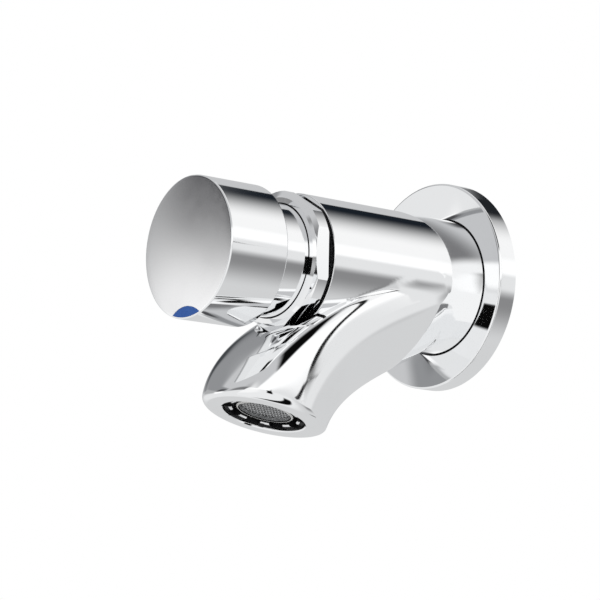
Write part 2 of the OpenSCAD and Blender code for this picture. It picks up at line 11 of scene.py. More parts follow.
import bpy
from mathutils import Matrix, Vector
from mathutils.bvhtree import BVHTree
from mathutils.interpolate import poly_3d_calc


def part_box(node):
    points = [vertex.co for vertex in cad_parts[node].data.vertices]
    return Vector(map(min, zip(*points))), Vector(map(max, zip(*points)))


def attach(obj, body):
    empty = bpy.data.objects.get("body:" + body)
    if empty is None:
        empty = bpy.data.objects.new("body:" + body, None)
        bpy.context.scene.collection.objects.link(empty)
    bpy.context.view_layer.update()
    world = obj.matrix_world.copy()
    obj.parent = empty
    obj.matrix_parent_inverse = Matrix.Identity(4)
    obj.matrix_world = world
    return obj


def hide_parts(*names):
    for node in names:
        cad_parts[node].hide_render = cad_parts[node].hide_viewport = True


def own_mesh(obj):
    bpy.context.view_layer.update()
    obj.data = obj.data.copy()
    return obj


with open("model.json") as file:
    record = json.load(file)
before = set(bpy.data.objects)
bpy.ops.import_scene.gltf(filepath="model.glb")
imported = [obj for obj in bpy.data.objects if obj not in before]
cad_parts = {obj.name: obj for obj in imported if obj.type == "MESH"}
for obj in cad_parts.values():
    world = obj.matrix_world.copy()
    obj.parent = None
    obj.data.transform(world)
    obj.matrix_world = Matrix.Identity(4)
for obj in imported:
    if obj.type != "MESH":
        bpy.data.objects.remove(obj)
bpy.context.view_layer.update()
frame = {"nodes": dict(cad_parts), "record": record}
MM = 0.001

# %% [markdown]
# ## Sizes that come from the frame
# A piece that is modelled again has to sit exactly where its CAD node does. The sizes could all be
# typed in, but then they could drift from the solids. So the driving ones are read from the nodes'
# boxes, and only what a box can't tell, such as a round on an edge, is written down here.

# %% Sizes from the boxes


def half_width(node):
    """Half the width of a node along X, which is the radius of a round piece."""
    low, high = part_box(node)
    return (high.x - low.x) / 2


def span(node):
    """Where a node ends towards the button and where it ends towards the wall, along Y."""
    low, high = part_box(node)
    return low.y, high.y


BODY_R, BODY_FRONT, BODY_BACK = 21 * MM, -61.8 * MM, -3.2 * MM
FLANGE_R = half_width("wall_flange")
FLANGE_FRONT = span("wall_flange")[0]
BUTTON_R = half_width("push_button")
BUTTON_FRONT, BUTTON_BACK = span("push_button")
GASKET_FRONT, GASKET_BACK = span("collar_gasket")
GASKET_R = half_width("collar_gasket")
THREAD_R = 15.75 * MM
mounts = {mount["name"]: mount for mount in frame["record"]["mounts"]}
OUTLET = Vector(mounts["outlet"]["pos_m"])
OUTLET_WAY = Vector(mounts["outlet"]["axis"]).normalized()
OUTLET_UP = -OUTLET_WAY
print(f"button radius {BUTTON_R / MM:.2f} mm, flange radius {FLANGE_R / MM:.2f} mm")

# %% [markdown]
# ## Tools for the bench
# Most of this tap is turned on a lathe, so the first tool is a lathe: a circle is extruded along
# the axis and resized at every point of a profile. A spin of the profile would do as well, but it
# needs its seam and its poles merged. The second tool wraps a plain cylinder along any path, which
# makes the spout, the thread, the spring and the wires. A third cuts one shape with another.

# %% Selecting and settling


def only(piece):
    """Selects this piece and nothing else, because an operator acts on all that is selected."""
    bpy.ops.object.select_all(action="DESELECT")
    piece.select_set(True)
    bpy.context.view_layer.objects.active = piece
    return piece


def settle(piece, name=None):
    """Moves the object's place into its mesh, so that the object itself sits at the origin."""
    only(piece)
    bpy.ops.object.transform_apply(location=True, rotation=True, scale=True)
    if name:
        piece.name = piece.data.name = name
    return piece


ALONG_Y = (math.pi / 2, 0, 0)


def cylinder(name, sides, radius, depth, place=(0, 0, 0), turn=(0, 0, 0)):
    """A plain cylinder to start from, with its place in its mesh."""
    bpy.ops.object.select_all(action="DESELECT")
    bpy.ops.mesh.primitive_cylinder_add(
        vertices=sides, radius=radius, depth=depth, location=place, rotation=turn
    )
    return settle(bpy.context.object, name)


def joined(pieces):
    """Makes one object of several, without cutting anything."""
    bpy.ops.object.select_all(action="DESELECT")
    for piece in pieces:
        piece.select_set(True)
    bpy.context.view_layer.objects.active = pieces[0]
    bpy.ops.object.join()
    return pieces[0]


def apply_modifier(piece, kind, **settings):
    """Adds one modifier with its settings and applies it."""
    only(piece)
    modifier = piece.modifiers.new(kind.title(), kind)
    for key, value in settings.items():
        setattr(modifier, key, value)
    bpy.ops.object.modifier_apply(modifier=modifier.name)
    return piece


# %% The lathe


def turned(name, profile, steps=192, solid=False):
    """Turns a profile of (radius, place along Y). A closed profile makes a ring.
    A solid piece has a flat face at the profile's first point and one at its last."""
    radius, along = profile[0]
    bpy.ops.object.select_all(action="DESELECT")
    bpy.ops.mesh.primitive_circle_add(
        vertices=steps, radius=radius, location=(0, along, 0), rotation=ALONG_Y
    )
    piece = settle(bpy.context.object, name)
    bpy.ops.object.mode_set(mode="EDIT")
    bpy.ops.mesh.select_all(action="SELECT")
    if solid:
        bpy.ops.mesh.edge_face_add()
        bpy.ops.mesh.select_all(action="SELECT")
    for next_radius, next_along in profile[1:] + ([] if solid else profile[:1]):
        bpy.ops.mesh.extrude_region_move(
            TRANSFORM_OT_translate={"value": (0, next_along - along, 0)}
        )
        ratio = next_radius / radius
        bpy.ops.transform.resize(value=(ratio, 1, ratio), center_override=(0, next_along, 0))
        radius, along = next_radius, next_along
    bpy.ops.mesh.select_all(action="SELECT")
    bpy.ops.mesh.remove_doubles(threshold=MM / 2000)
    bpy.ops.mesh.normals_make_consistent(inside=False)
    bpy.ops.object.mode_set(mode="OBJECT")
    return piece


def arc(radius, along, size, start, end, steps=5):
    """Points of a round of this size about (radius, along), between two angles in degrees."""
    angles = [math.radians(start + (end - start) * i / steps) for i in range(steps + 1)]
    return [(radius + size * math.cos(a), along + size * math.sin(a)) for a in angles]


# %% The wrapping tool


def wrapped(name, sides, cuts, place):
    """Lays a cylinder's points where place(turn, along) says, with along from 0 to 1.
    Each number of cuts divides all the lengthwise edges once more."""
    piece = cylinder(name, sides, 1, 1, (0, 0, 0.5))
    for number in cuts:
        mesh = piece.data
        bpy.ops.object.mode_set(mode="EDIT")
        bpy.ops.mesh.select_mode(type="EDGE")
        bpy.ops.mesh.select_all(action="DESELECT")
        bpy.ops.object.mode_set(mode="OBJECT")
        for edge in mesh.edges:
            low, high = (mesh.vertices[i].co.z for i in edge.vertices)
            edge.select = abs(high - low) > 1e-6
        bpy.ops.object.mode_set(mode="EDIT")
        bpy.ops.mesh.subdivide(number_cuts=number)
        bpy.ops.object.mode_set(mode="OBJECT")
    for vertex in piece.data.vertices:
        turn = math.atan2(vertex.co.y, vertex.co.x)
        vertex.co = place(turn, min(max(vertex.co.z, 0), 1))
    return face_outwards(piece)


def face_outwards(piece):
    """Turns every face's normal to the outside of the shape."""
    only(piece)
    bpy.ops.object.mode_set(mode="EDIT")
    bpy.ops.mesh.select_all(action="SELECT")
    bpy.ops.mesh.normals_make_consistent(inside=False)
    bpy.ops.object.mode_set(mode="OBJECT")
    return piece


# %% Cutting, joining and smoothing


def combined(piece, tool, operation="DIFFERENCE"):
    """Cuts a piece with a tool, or joins them, and throws the tool away."""
    apply_modifier(piece, "BOOLEAN", object=tool, operation=operation, solver="EXACT")
    bpy.data.objects.remove(tool)
    return piece


def eased(piece, width, angle):
    """Takes the sharpness off all edges that turn by more than an angle."""
    limits = {"limit_method": "ANGLE", "angle_limit": math.radians(angle)}
    return apply_modifier(piece, "BEVEL", width=width, segments=2, **limits)


def smoothed(piece, angle=32):
    """Smooth shading up to an angle. The large faces set the normals, so flat faces stay flat."""
    only(piece)
    bpy.ops.object.shade_smooth_by_angle(angle=math.radians(angle))
    return apply_modifier(piece, "WEIGHTED_NORMAL", keep_sharp=True, weight=100)


def skin_of(piece):
    """The surface of a smooth shape: a search tree over its triangles and their corner normals."""
    mesh = piece.data
    mesh.calc_loop_triangles()
    corners, normals = [], []
    for triangle in mesh.loop_triangles:
        corners.append([mesh.vertices[i].co.copy() for i in triangle.vertices])
        normals.append([mesh.corner_normals[i].vector.copy() for i in triangle.loops])
    tree = BVHTree.FromPolygons(
        [point for triangle in corners for point in triangle],
        [(3 * i, 3 * i + 1, 3 * i + 2) for i in range(len(corners))],
    )
    return tree, corners, normals


def normal_on(skin, point):
    """The nearest spot of a smooth surface, and its normal there."""
    tree, corners, normals = skin
    spot, _, index, _ = tree.find_nearest(point)
    weights = poly_3d_calc(corners[index], spot)
    return spot, sum((w * n for w, n in zip(weights, normals[index])), Vector()).normalized()


def keep_skins(piece, skins, known=None):
    """Gives each corner of a cut piece the normal of the smooth surface that it was cut from.
    A cut leaves long thin faces, which shade badly in a mirror finish, and this hides them."""
    mesh = piece.data
    normals = [Vector((0, 0, 1))] * len(mesh.loops)
    for face in mesh.polygons:
        centre = face.center
        skin = min(skins, key=lambda skin: skin[0].find_nearest(centre)[3])
        for loop in face.loop_indices:
            corner = mesh.vertices[mesh.loops[loop].vertex_index]
            normal = normal_on(skin, corner.co.lerp(centre, 0.01))[1]
            normal = normal if normal.dot(face.normal) > 0 else -normal
            better = (known or {}).get(corner.index, normal)
            normals[loop] = better if better.dot(normal) > 0.7 else normal
    mesh.shade_smooth()
    mesh.normals_split_custom_set(normals)
    return piece


# %% [markdown]
# ## The camera
# The photograph looks up at the tap from its right. A wide lens near the tap would swell the button
# and shrink the flange, so the lens is long and stands well back, as the photographer's did. The
# camera's place and its angles were worked out from the round edges, which share one axis.

# %% Camera at the photograph's angle
CAMERA_AT = Vector((584.15, -524.82, -135.31)) * MM
AZIMUTH, ELEVATION, ROLL = (math.radians(angle) for angle in (51.35, -9.47, 1.17))
LENS, SENSOR = 153.3, 36

camera_data = bpy.data.cameras.new("Camera")
camera_data.lens, camera_data.sensor_width = LENS, SENSOR
camera = bpy.data.objects.new("Camera", camera_data)
bpy.context.scene.collection.objects.link(camera)
camera.matrix_world = (
    Matrix.Translation(CAMERA_AT)
    @ Matrix.Rotation(AZIMUTH, 4, "Z")
    @ Matrix.Rotation(math.pi / 2 - ELEVATION, 4, "X")
    @ Matrix.Rotation(ROLL, 4, "Z")
)
bpy.context.scene.camera = camera
print("camera", [round(value, 3) for value in camera.location])

# %% [markdown]
# ## The wall flange
# A plate that covers the hole in the wall. Its face is dished towards the body and its rim is
# rolled over. A disc could be inset and pushed into this shape by hand, but every ring of it is
# round, so one turned profile does it all, with the hollow behind for the gasket.

# %% Flange
FLANGE_EDGE, FLANGE_LAND, FLANGE_SEAT = 0.7 * MM, 3.4 * MM, -3 * MM
FLANGE_BORE, FLANGE_RECESS, FLANGE_FOOT, BODY_GAP = 15.15 * MM, -1.4 * MM, 0.2 * MM, 0.4 * MM

flange = turned(
    "wall_plate",
    [(FLANGE_BORE, FLANGE_RECESS), (FLANGE_R - FLANGE_LAND, FLANGE_RECESS)]
    + [(FLANGE_R - FLANGE_LAND, 0), (FLANGE_R - FLANGE_FOOT, 0), (FLANGE_R, -FLANGE_FOOT)]
    + arc(FLANGE_R - FLANGE_EDGE, FLANGE_FRONT + FLANGE_EDGE, FLANGE_EDGE, 0, -80, 8)
    + [(BODY_R + BODY_GAP, FLANGE_SEAT), (FLANGE_BORE, FLANGE_SEAT)],
    steps=256,
)
smoothed(flange)
print("flange", len(flange.data.polygons), "faces")

# %% [markdown]
# ## The body and its spout
# One casting: a round barrel with a spout that leaves it underneath. The spout's section changes
# along its way from a circle at the outlet to a flat top and a round belly at the root. A curve with
# a bevel keeps one section all along, so a cylinder is wrapped along the way instead, and a formula
# gives each ring its section. The barrel and the spout are joined by a boolean, then bored.

# %% The spout's shape
SPOUT_R, SPOUT_EDGE, EDGE_SHARE = 18.5 * MM, 2 * MM, 1 / 9
ROOT = Vector((0, -16.9, -4.8)) * MM
ROOT_SLOPE = math.radians(36)
OUTLET_PULL, ROOT_PULL = 30.8 * MM, 8.6 * MM
SIDE = (SPOUT_R, 19.8 * MM, BODY_R - 1.1 * MM)
TOP = (SPOUT_R, 9 * MM, 15.5 * MM)
BELLY = (SPOUT_R, 19.4 * MM, 16 * MM)
SQUARE = (2, 6.2, 2.3)
ROOT_WAY = Vector((0, math.cos(ROOT_SLOPE), math.sin(ROOT_SLOPE)))
HANDLES = (OUTLET, OUTLET + OUTLET_PULL * OUTLET_UP, ROOT - ROOT_PULL * ROOT_WAY, ROOT)


def curve_point(t):
    """Point and direction on the spout's middle line: t goes from the outlet to the root and on."""
    if t > 1:
        return ROOT + Vector((0, 3 * (t - 1) * ROOT_PULL, 0)), ROOT_WAY
    a, b, c, d = HANDLES
    s = 1 - t
    point = s**3 * a + 3 * s * s * t * b + 3 * s * t * t * c + t**3 * d
    way = s * s * (b - a) + 2 * s * t * (c - b) + t * t * (d - c)
    return point, way.normalized()


def through(values, t):
    """Smooth change from the first value to the last that passes the middle one half way."""
    first, middle, last = values
    t = min(t, 1)
    return first * (1 - t) ** 2 + (2 * middle - (first + last) / 2) * 2 * t * (1 - t) + last * t * t


def power(value, exponent):
    """Power that keeps the sign."""
    return math.copysign(abs(value) ** exponent, value)


def spout_place(turn, along, end=1):
    """A point of the spout's skin. The first ninth of the rings rounds the outlet's edge."""
    edge_t = SPOUT_EDGE / (3 * OUTLET_PULL)
    if along < EDGE_SHARE:
        angle = math.pi / 2 * along / EDGE_SHARE
        t = edge_t * (1 - math.cos(angle))
        size = 1 - SPOUT_EDGE * (1 - math.sin(angle)) / SPOUT_R
    else:
        t = edge_t + (end - edge_t) * (along - EDGE_SHARE) / (1 - EDGE_SHARE)
        size = 1
    point, way = curve_point(t)
    up = Vector((0, -way.z, way.y))
    upper = math.sin(turn) > 0
    exponent = 2 / through(SQUARE, t) if upper else 1
    height = through(TOP if upper else BELLY, t) * size * power(math.sin(turn), exponent)
    side = through(SIDE, t) * size * power(math.cos(turn), exponent)
    return point + Vector((side, 0, 0)) + up * height


spout = wrapped("spout", 192, (11, 11), spout_place)
smoothed(spout, 50)
print("spout", len(spout.data.polygons), "faces")

# %% The barrel and the tools that bore it
EDGE, RINGS = 0.25 * MM, 48
SPIGOT_R, SPIGOT_END = 15 * MM, -0.4 * MM
barrel = turned(
    "body_shell",
    [(SPIGOT_R, SPIGOT_END), (SPIGOT_R, BODY_BACK)]
    + [(BODY_R, BODY_BACK + (BODY_FRONT + EDGE - BODY_BACK) * ring / RINGS) for ring in range(RINGS)]
    + arc(BODY_R - EDGE, BODY_FRONT + EDGE, EDGE, 0, -90, 4),
    steps=256,
    solid=True,
)
smoothed(barrel)
INLET_R, INLET_FLOOR, REGULATOR_R, SEAT_BACK = 10.25 * MM, -10.4 * MM, 8.4 * MM, -24 * MM
SEAT_R, CHAMBER_FLOOR, CHAMBER_R, THREAD_START = 9 * MM, -28 * MM, 14.4 * MM, -47 * MM
ROOM_R, ROOM_END, PAST = BODY_R + 0.7 * MM, -99 * MM, 1 * MM
bores = turned(
    "bores",
    [(INLET_R, PAST), (INLET_R, INLET_FLOOR), (REGULATOR_R, INLET_FLOOR), (REGULATOR_R, SEAT_BACK)]
    + [(SEAT_R, SEAT_BACK), (SEAT_R, CHAMBER_FLOOR), (CHAMBER_R, CHAMBER_FLOOR)]
    + [(CHAMBER_R, THREAD_START), (THREAD_R, THREAD_START), (THREAD_R, BODY_FRONT - PAST)],
    steps=128,
    solid=True,
)
smoothed(bores)
room = smoothed(turned("room", [(ROOM_R, BODY_FRONT), (ROOM_R, ROOM_END)], 256, solid=True))


def at_outlet(piece):
    """Carries a piece made along -Y from the origin to the outlet, pointing along the water's way."""
    turn = Vector((0, -1, 0)).rotation_difference(OUTLET_WAY)
    piece.data.transform(Matrix.Translation(OUTLET) @ turn.to_matrix().to_4x4())
    return piece


RECESS_R, RECESS_DEPTH, RECESS_EDGE, FLARE = 12.4 * MM, 10 * MM, 0.35 * MM, 2 * MM
WATERWAY_R, BEND_ABOVE = 5 * MM, 4 * MM
recess = turned(
    "recess",
    [(RECESS_R, RECESS_DEPTH), (RECESS_R, RECESS_EDGE)]
    + [(RECESS_R + RECESS_EDGE, 0), (RECESS_R + FLARE, -FLARE)],
    128,
    solid=True,
)
at_outlet(smoothed(recess))


def rod_between(name, start, end, radius):
    """A round rod from one point to another."""
    turn = (end - start).to_track_quat("Z", "Y").to_euler()
    return smoothed(cylinder(name, 64, radius, (end - start).length, (start + end) / 2, turn))


bend = OUTLET + (RECESS_DEPTH + BEND_ABOVE) * OUTLET_UP
way_in = Vector((0, -31, -12.4)) * MM
slope = (bend - way_in).normalized()
sloping = rod_between("sloping_way", way_in, bend + slope * WATERWAY_R / 2, WATERWAY_R)
upright = rod_between("upright_way", OUTLET, bend + OUTLET_UP * WATERWAY_R / 2, WATERWAY_R)
outer_skins = [skin_of(spout), skin_of(barrel), skin_of(room)]
bore_skins = [skin_of(tool) for tool in (bores, recess, sloping, upright)]
print("barrel", len(barrel.data.polygons), "faces, recess", RECESS_DEPTH / MM, "mm deep")

# %% [markdown]
# Where two shapes of a casting meet, the metal flows from one into the other, more and more towards
# the wall. The plain union has a sharp valley there, and a bevel can't follow a round that grows
# along its way. So each point of the skin near the valley is moved out to the rounded sum of both
# shapes: where the distances to the barrel and to the spout are alike within the width of the
# round, the sum lies a little outside of both. The distances are taken to a spout that runs on to
# the wall, because a flat end would spoil them. Above FLOW_TOP the skin is left as it is.

# %% Join, bore and let the valley flow
FLOW_R, FLOW_RISE, WIDEST, LONG, FLOW_TOP = 70 * MM, 2.8, 2 * MM, 2.3, 5 * MM

long_spout = wrapped("long_spout", 192, (11, 19), lambda turn, along: spout_place(turn, along, LONG))
flow_skin = skin_of(smoothed(long_spout, 50))
bpy.data.objects.remove(long_spout)


def closeness(point):
    """Distances to the barrel and to the spout, both ways out, and the width of the round."""
    out = Vector((point.x, 0, point.z))
    barrel_way = out.normalized()
    spot, spout_way = normal_on(flow_skin, point)
    share = max((point.y - BODY_FRONT) / (BODY_BACK - BODY_FRONT), 0)
    radius = FLOW_R * share**FLOW_RISE * barrel_way.x**2 + MM / 1000
    width = min(radius * (1 - barrel_way.dot(spout_way)) + MM / 1000, WIDEST)
    return out.length - BODY_R, (point - spot).dot(spout_way), barrel_way, spout_way, width


def flowed(point):
    """Moves a point of the union's skin to the rounded sum, and gives the normal there."""
    for _ in range(5):
        to_barrel, to_spout, barrel_way, spout_way, width = closeness(point)
        near = max(width - abs(to_barrel - to_spout), 0) / width
        share = min(max(0.5 + (to_spout - to_barrel) / (2 * width), 0), 1)
        way = share * barrel_way + (1 - share) * spout_way
        level = min(to_barrel, to_spout) - near**2 * width / 4
        point = point - way * level / way.length_squared
    return point, way.normalized()


combined(spout, room)
body = combined(barrel, spout, "UNION")
for tool in (bores, recess, sloping, upright):
    combined(body, tool)
flow_normals = {}
for vertex in body.data.vertices:
    if BODY_FRONT + EDGE < vertex.co.y < BODY_BACK - MM / 100 and vertex.co.z < FLOW_TOP:
        to_barrel, to_spout, _, _, width = closeness(vertex.co)
        if abs(min(to_barrel, to_spout)) < MM / 50 and abs(to_barrel - to_spout) < width:
            vertex.co, flow_normals[vertex.index] = flowed(vertex.co.copy())
keep_skins(body, outer_skins + bore_skins, flow_normals)
print("body", len(body.data.polygons), "faces,", len(flow_normals), "points moved")

# %% [markdown]
# ## The head
# The head screws into the body. What shows is its collar, a hexagon with turned corners for the
# spanner, and the smooth neck that the button slides over. The corners could be bevelled one by
# one, but hexagon and lathe work meeting in one boolean leave the curved edges that a real spanner
# collar has. A fine groove runs round the neck in the collar's front.

# %% Collar and neck
COLLAR_BACK, COLLAR_FRONT = GASKET_FRONT, -68.3 * MM
COLLAR_FLAT, COLLAR_CORNER, COLLAR_CHAMFER = 19.5 * MM, BODY_R, 0.8 * MM
COLLAR_BORE, BACK_CHAMFER, FRONT_BEVEL = 13.5 * MM, 0.4 * MM, 0.7 * MM
CORNER_DROP, HEXAGON_LENGTH = 1.9 * COLLAR_CHAMFER, 20 * MM
NECK_R, NECK_FRONT, NECK_CHAMFER, GROOVE = 17 * MM, -86 * MM, 0.6 * MM, 0.3 * MM
DASHPOT_R, DASHPOT_FRONT, CUP_FLOOR, CUP_R = 12 * MM, -70 * MM, -76 * MM, 14 * MM

collar = turned(
    "head_top",
    [(COLLAR_BORE, COLLAR_BACK), (COLLAR_CORNER - BACK_CHAMFER, COLLAR_BACK)]
    + [(COLLAR_CORNER, COLLAR_BACK - BACK_CHAMFER), (COLLAR_CORNER, COLLAR_FRONT + CORNER_DROP)]
    + [(COLLAR_FLAT, COLLAR_FRONT + COLLAR_CHAMFER)]
    + [(COLLAR_FLAT - FRONT_BEVEL, COLLAR_FRONT), (NECK_R + GROOVE, COLLAR_FRONT)]
    + [(NECK_R + GROOVE, COLLAR_FRONT + GROOVE), (COLLAR_BORE, COLLAR_FRONT + GROOVE)],
    steps=256,
)
smoothed(collar, 20)
corner_r = COLLAR_FLAT / math.cos(math.pi / 6)
hexagon = cylinder("hexagon", 6, corner_r, HEXAGON_LENGTH, (0, COLLAR_BACK, 0), ALONG_Y)
collar_skins = [skin_of(collar), skin_of(hexagon)]
combined(collar, hexagon, "INTERSECT")

HEAD_THREAD_R, THREAD_END, NECK_BACK = THREAD_R - 0.05 * MM, -47.6 * MM, COLLAR_BACK - 1 * MM
BUSH_R, BUSH_FLOOR, STEM_HOLE_R = 6.55 * MM, DASHPOT_FRONT - 0.4 * MM, 4.4 * MM
neck = turned(
    "neck",
    [(DASHPOT_R, THREAD_END), (HEAD_THREAD_R, THREAD_END), (HEAD_THREAD_R, NECK_BACK)]
    + [(NECK_R, NECK_BACK), (NECK_R, NECK_FRONT + NECK_CHAMFER), (NECK_R - NECK_CHAMFER, NECK_FRONT)]
    + [(CUP_R, NECK_FRONT), (CUP_R, CUP_FLOOR), (BUSH_R, CUP_FLOOR), (BUSH_R, BUSH_FLOOR)]
    + [(STEM_HOLE_R, BUSH_FLOOR), (STEM_HOLE_R, DASHPOT_FRONT), (DASHPOT_R, DASHPOT_FRONT)],
    steps=256,
)
collar_skins.append(skin_of(smoothed(neck)))
head = combined(collar, neck, "UNION")
keep_skins(head, collar_skins)
print("head", len(head.data.polygons), "faces")

# %% [markdown]
# ## The button
# A turned cap with a satin face and a fine bright bevel. A flat face would mirror one even tone, so
# the profile drops back by half a millimetre from the middle to the edge, as a polished face does.
# The bevel's corners are points of the same profile, which keeps its width even all round.

# %% The button, turned with a slightly crowned face
BEVEL, CROWN, BUTTON_BORE, CEILING = 0.4 * MM, 0.5 * MM, 17.35 * MM, -96.5 * MM
STEM_R, STEM_FLOOR, BOSS_R, BOSS_END = 3.05 * MM, -96 * MM, 5.2 * MM, -91 * MM
SKIRT_ROUND, SKIRT_CHAMFER, CORNER = 0.5 * MM, 0.6 * MM, 0.1 * MM
FACE_R = BUTTON_R - BEVEL
FACE_BACK = BUTTON_FRONT + CROWN


def crown_at(radius):
    """How far the crowned face has dropped back at this radius."""
    return CROWN * (radius / FACE_R) ** 2


button = turned(
    "push_cap",
    [(STEM_R, STEM_FLOOR), (STEM_R, BOSS_END), (BOSS_R, BOSS_END), (BOSS_R, CEILING)]
    + [(BUTTON_BORE, CEILING), (BUTTON_BORE, BUTTON_BACK - SKIRT_CHAMFER)]
    + [(BUTTON_BORE + SKIRT_CHAMFER, BUTTON_BACK), (BUTTON_R - SKIRT_ROUND, BUTTON_BACK)]
    + arc(BUTTON_R - SKIRT_ROUND, BUTTON_BACK - SKIRT_ROUND, SKIRT_ROUND, 90, 0, 5)[1:]
    + [(BUTTON_R, FACE_BACK + BEVEL + CORNER), (BUTTON_R - CORNER / 2, FACE_BACK + BEVEL - CORNER)]
    + [(FACE_R + 0.8 * CORNER, FACE_BACK + CORNER / 2)]
    + [(ring * MM, BUTTON_FRONT + crown_at(ring * MM)) for ring in (20.4, 18, 15, 12, 9, 6, 3, 0.4)],
    steps=256,
    solid=True,
)
smoothed(button, 25)
print("button", len(button.data.polygons), "faces")

# %% [markdown]
# A blue lens near the bottom of the face says cold. It could be painted on with a mask, but a real
# one is let in and has an edge of its own. The lens is where two discs overlap: one as large as the
# face, one smaller. The same shape, a hair larger, cuts the pocket that the inlay lies in.

# %% The blue mark
MARK_W, MARK_H, MARK_DEPTH, MARK_INSET = 12.8 * MM, 3.1 * MM, 0.4 * MM, 0.1 * MM
POCKET_GAP, MARK_SINK, MARK_EDGE = 0.05 * MM, 0.02 * MM, 0.08 * MM


def lens(name, grow, front, back):
    """The lens between the face's edge and a rounder arc, pushed back to follow the crown."""
    rim = FACE_R - MARK_INSET
    corner = math.sqrt(rim**2 - MARK_W**2 / 4)
    bulge = MARK_H - (rim - corner)
    upper_r = (MARK_W**2 / 4 + bulge**2) / (2 * bulge)
    middle = (front + back) / 2
    discs = [
        cylinder(name, 256, radius + grow, back - front, (0, middle, height), ALONG_Y)
        for radius, height in ((rim, 0), (upper_r, bulge - corner - upper_r))
    ]
    piece = combined(*discs, "INTERSECT")
    for vertex in piece.data.vertices:
        vertex.co.y += crown_at(math.hypot(vertex.co.x, vertex.co.z))
    return piece


button_skins = [skin_of(button)]
pocket = lens("pocket", POCKET_GAP, BUTTON_FRONT - PAST, BUTTON_FRONT + MARK_DEPTH)
button_skins.append(skin_of(smoothed(pocket)))
combined(button, pocket)
keep_skins(button, button_skins)
mark = lens("cold_inlay", 0, BUTTON_FRONT + MARK_SINK, BUTTON_FRONT + MARK_DEPTH)
smoothed(eased(mark, MARK_EDGE, 40))
print("mark", len(mark.data.polygons), "faces")

# %% [markdown]
# ## Seals and the inlet
# The black ring between the collar and the body is a flat rubber washer. Its edge bulges a little
# where the head squeezes it, so its profile has a round edge. The inlet behind the wall is a brass
# nipple with a pipe thread. A Screw modifier could sweep a tooth round it, but its ends would need
# closing. A cylinder wrapped so that each point's radius follows the helix is closed from the start.

# %% Collar washer
WASHER_EDGE, WASHER_BORE = 0.3 * MM, THREAD_R + 0.05 * MM
washer = turned(
    "collar_washer",
    [(WASHER_BORE, GASKET_FRONT), (WASHER_BORE, GASKET_BACK)]
    + arc(GASKET_R - WASHER_EDGE, GASKET_BACK - WASHER_EDGE, WASHER_EDGE, 90, 0, 4)
    + arc(GASKET_R - WASHER_EDGE, GASKET_FRONT + WASHER_EDGE, WASHER_EDGE, 0, -90, 4),
    steps=192,
)
smoothed(washer, 50)
print("washer", len(washer.data.polygons), "faces")

# %% The threaded inlet
NIPPLE_FRONT, NIPPLE_END = span("inlet_nipple")
NIPPLE_R = half_width("inlet_nipple")
PITCH, THREAD_DEPTH, TOOTH_RISE, TOOTH_FLAT, FIRST_TURN = 1.814 * MM, 1.1 * MM, 2.6, 0.15, 0.2 * MM
SHANK_R, NIPPLE_BORE, LEDGE_R, LEDGE_AT = 10.2 * MM, 7.6 * MM, 6.9 * MM, -5.2 * MM


def thread_place(turn, along):
    """A point of the nipple: a plain shank in the body, a thread behind the wall, a chamfered end."""
    y = NIPPLE_FRONT + (NIPPLE_END - NIPPLE_FRONT) * along
    turns = (y / PITCH - turn / (2 * math.pi)) % 1
    groove = min(1, max(0, TOOTH_RISE * abs(turns - 0.5) - TOOTH_FLAT))
    started = min(1, max(0, (y - FIRST_TURN) / PITCH))
    radius = NIPPLE_R - THREAD_DEPTH * groove * started
    if y < 0:
        radius = SHANK_R
    radius = min(radius, NIPPLE_R - THREAD_DEPTH + (NIPPLE_END - y))
    return Vector((radius * math.cos(turn), y, radius * math.sin(turn)))


nipple = wrapped("inlet_thread", 96, (9, 12), thread_place)
bore = turned(
    "bore",
    [(NIPPLE_BORE, NIPPLE_END + PAST), (NIPPLE_BORE, LEDGE_AT)]
    + [(LEDGE_R, LEDGE_AT), (LEDGE_R, NIPPLE_FRONT - PAST)],
    steps=96,
    solid=True,
)
combined(nipple, bore)
smoothed(nipple)
print("nipple", len(nipple.data.polygons), "faces")

# %% [markdown]
# ## The aerator
# In the outlet sits a notched chrome ring that a key turns, a plastic insert in it and a woven
# screen. The notches are one block, copied round and cut away together. The insert is turned, with
# a thin rim round a well. A picture of a mesh would look flat from near by, so the screen is real
# wires: two sets that pass over and under each other, each a thin wrapped cylinder with a wave.

# %% The notched ring
HOUSING_R, HOUSING_BORE = 12.3 * MM, 9.9 * MM
HOUSING_MOUTH, HOUSING_END, NOTCHES = 1 * MM, 9 * MM, 9
NOTCH_W, NOTCH_DEPTH, NOTCH_WALL, BLOCK = 4.4 * MM, 3 * MM, 0.35 * MM, 4 * MM
LIP, TOOTH_R, RING_EDGE = 0.3 * MM, 10.7 * MM, 0.12 * MM

housing = turned(
    "notched_ring",
    [(HOUSING_BORE, HOUSING_END), (HOUSING_R, HOUSING_END), (HOUSING_R, HOUSING_MOUTH + LIP)]
    + [(HOUSING_R - LIP, HOUSING_MOUTH), (TOOTH_R, HOUSING_MOUTH), (HOUSING_BORE + LIP, HOUSING_MOUTH)]
    + [(HOUSING_BORE, HOUSING_MOUTH + LIP), (HOUSING_BORE, HOUSING_MOUTH + NOTCH_DEPTH)],
    steps=192,
)
blocks = []
block_middle = HOUSING_R - NOTCH_WALL - BLOCK / 2
for number in range(NOTCHES):
    bpy.ops.object.select_all(action="DESELECT")
    bpy.ops.mesh.primitive_cube_add(size=1)
    blocks.append(bpy.context.object)
    blocks[-1].data.transform(
        Matrix.Rotation(2 * math.pi * number / NOTCHES, 4, "Y")
        @ Matrix.Translation((block_middle, HOUSING_MOUTH, 0))
        @ Matrix.Diagonal((BLOCK, 2 * NOTCH_DEPTH, NOTCH_W, 1))
    )
combined(housing, joined(blocks))
at_outlet(smoothed(eased(housing, RING_EDGE, 50)))
print("ring", len(housing.data.polygons), "faces")

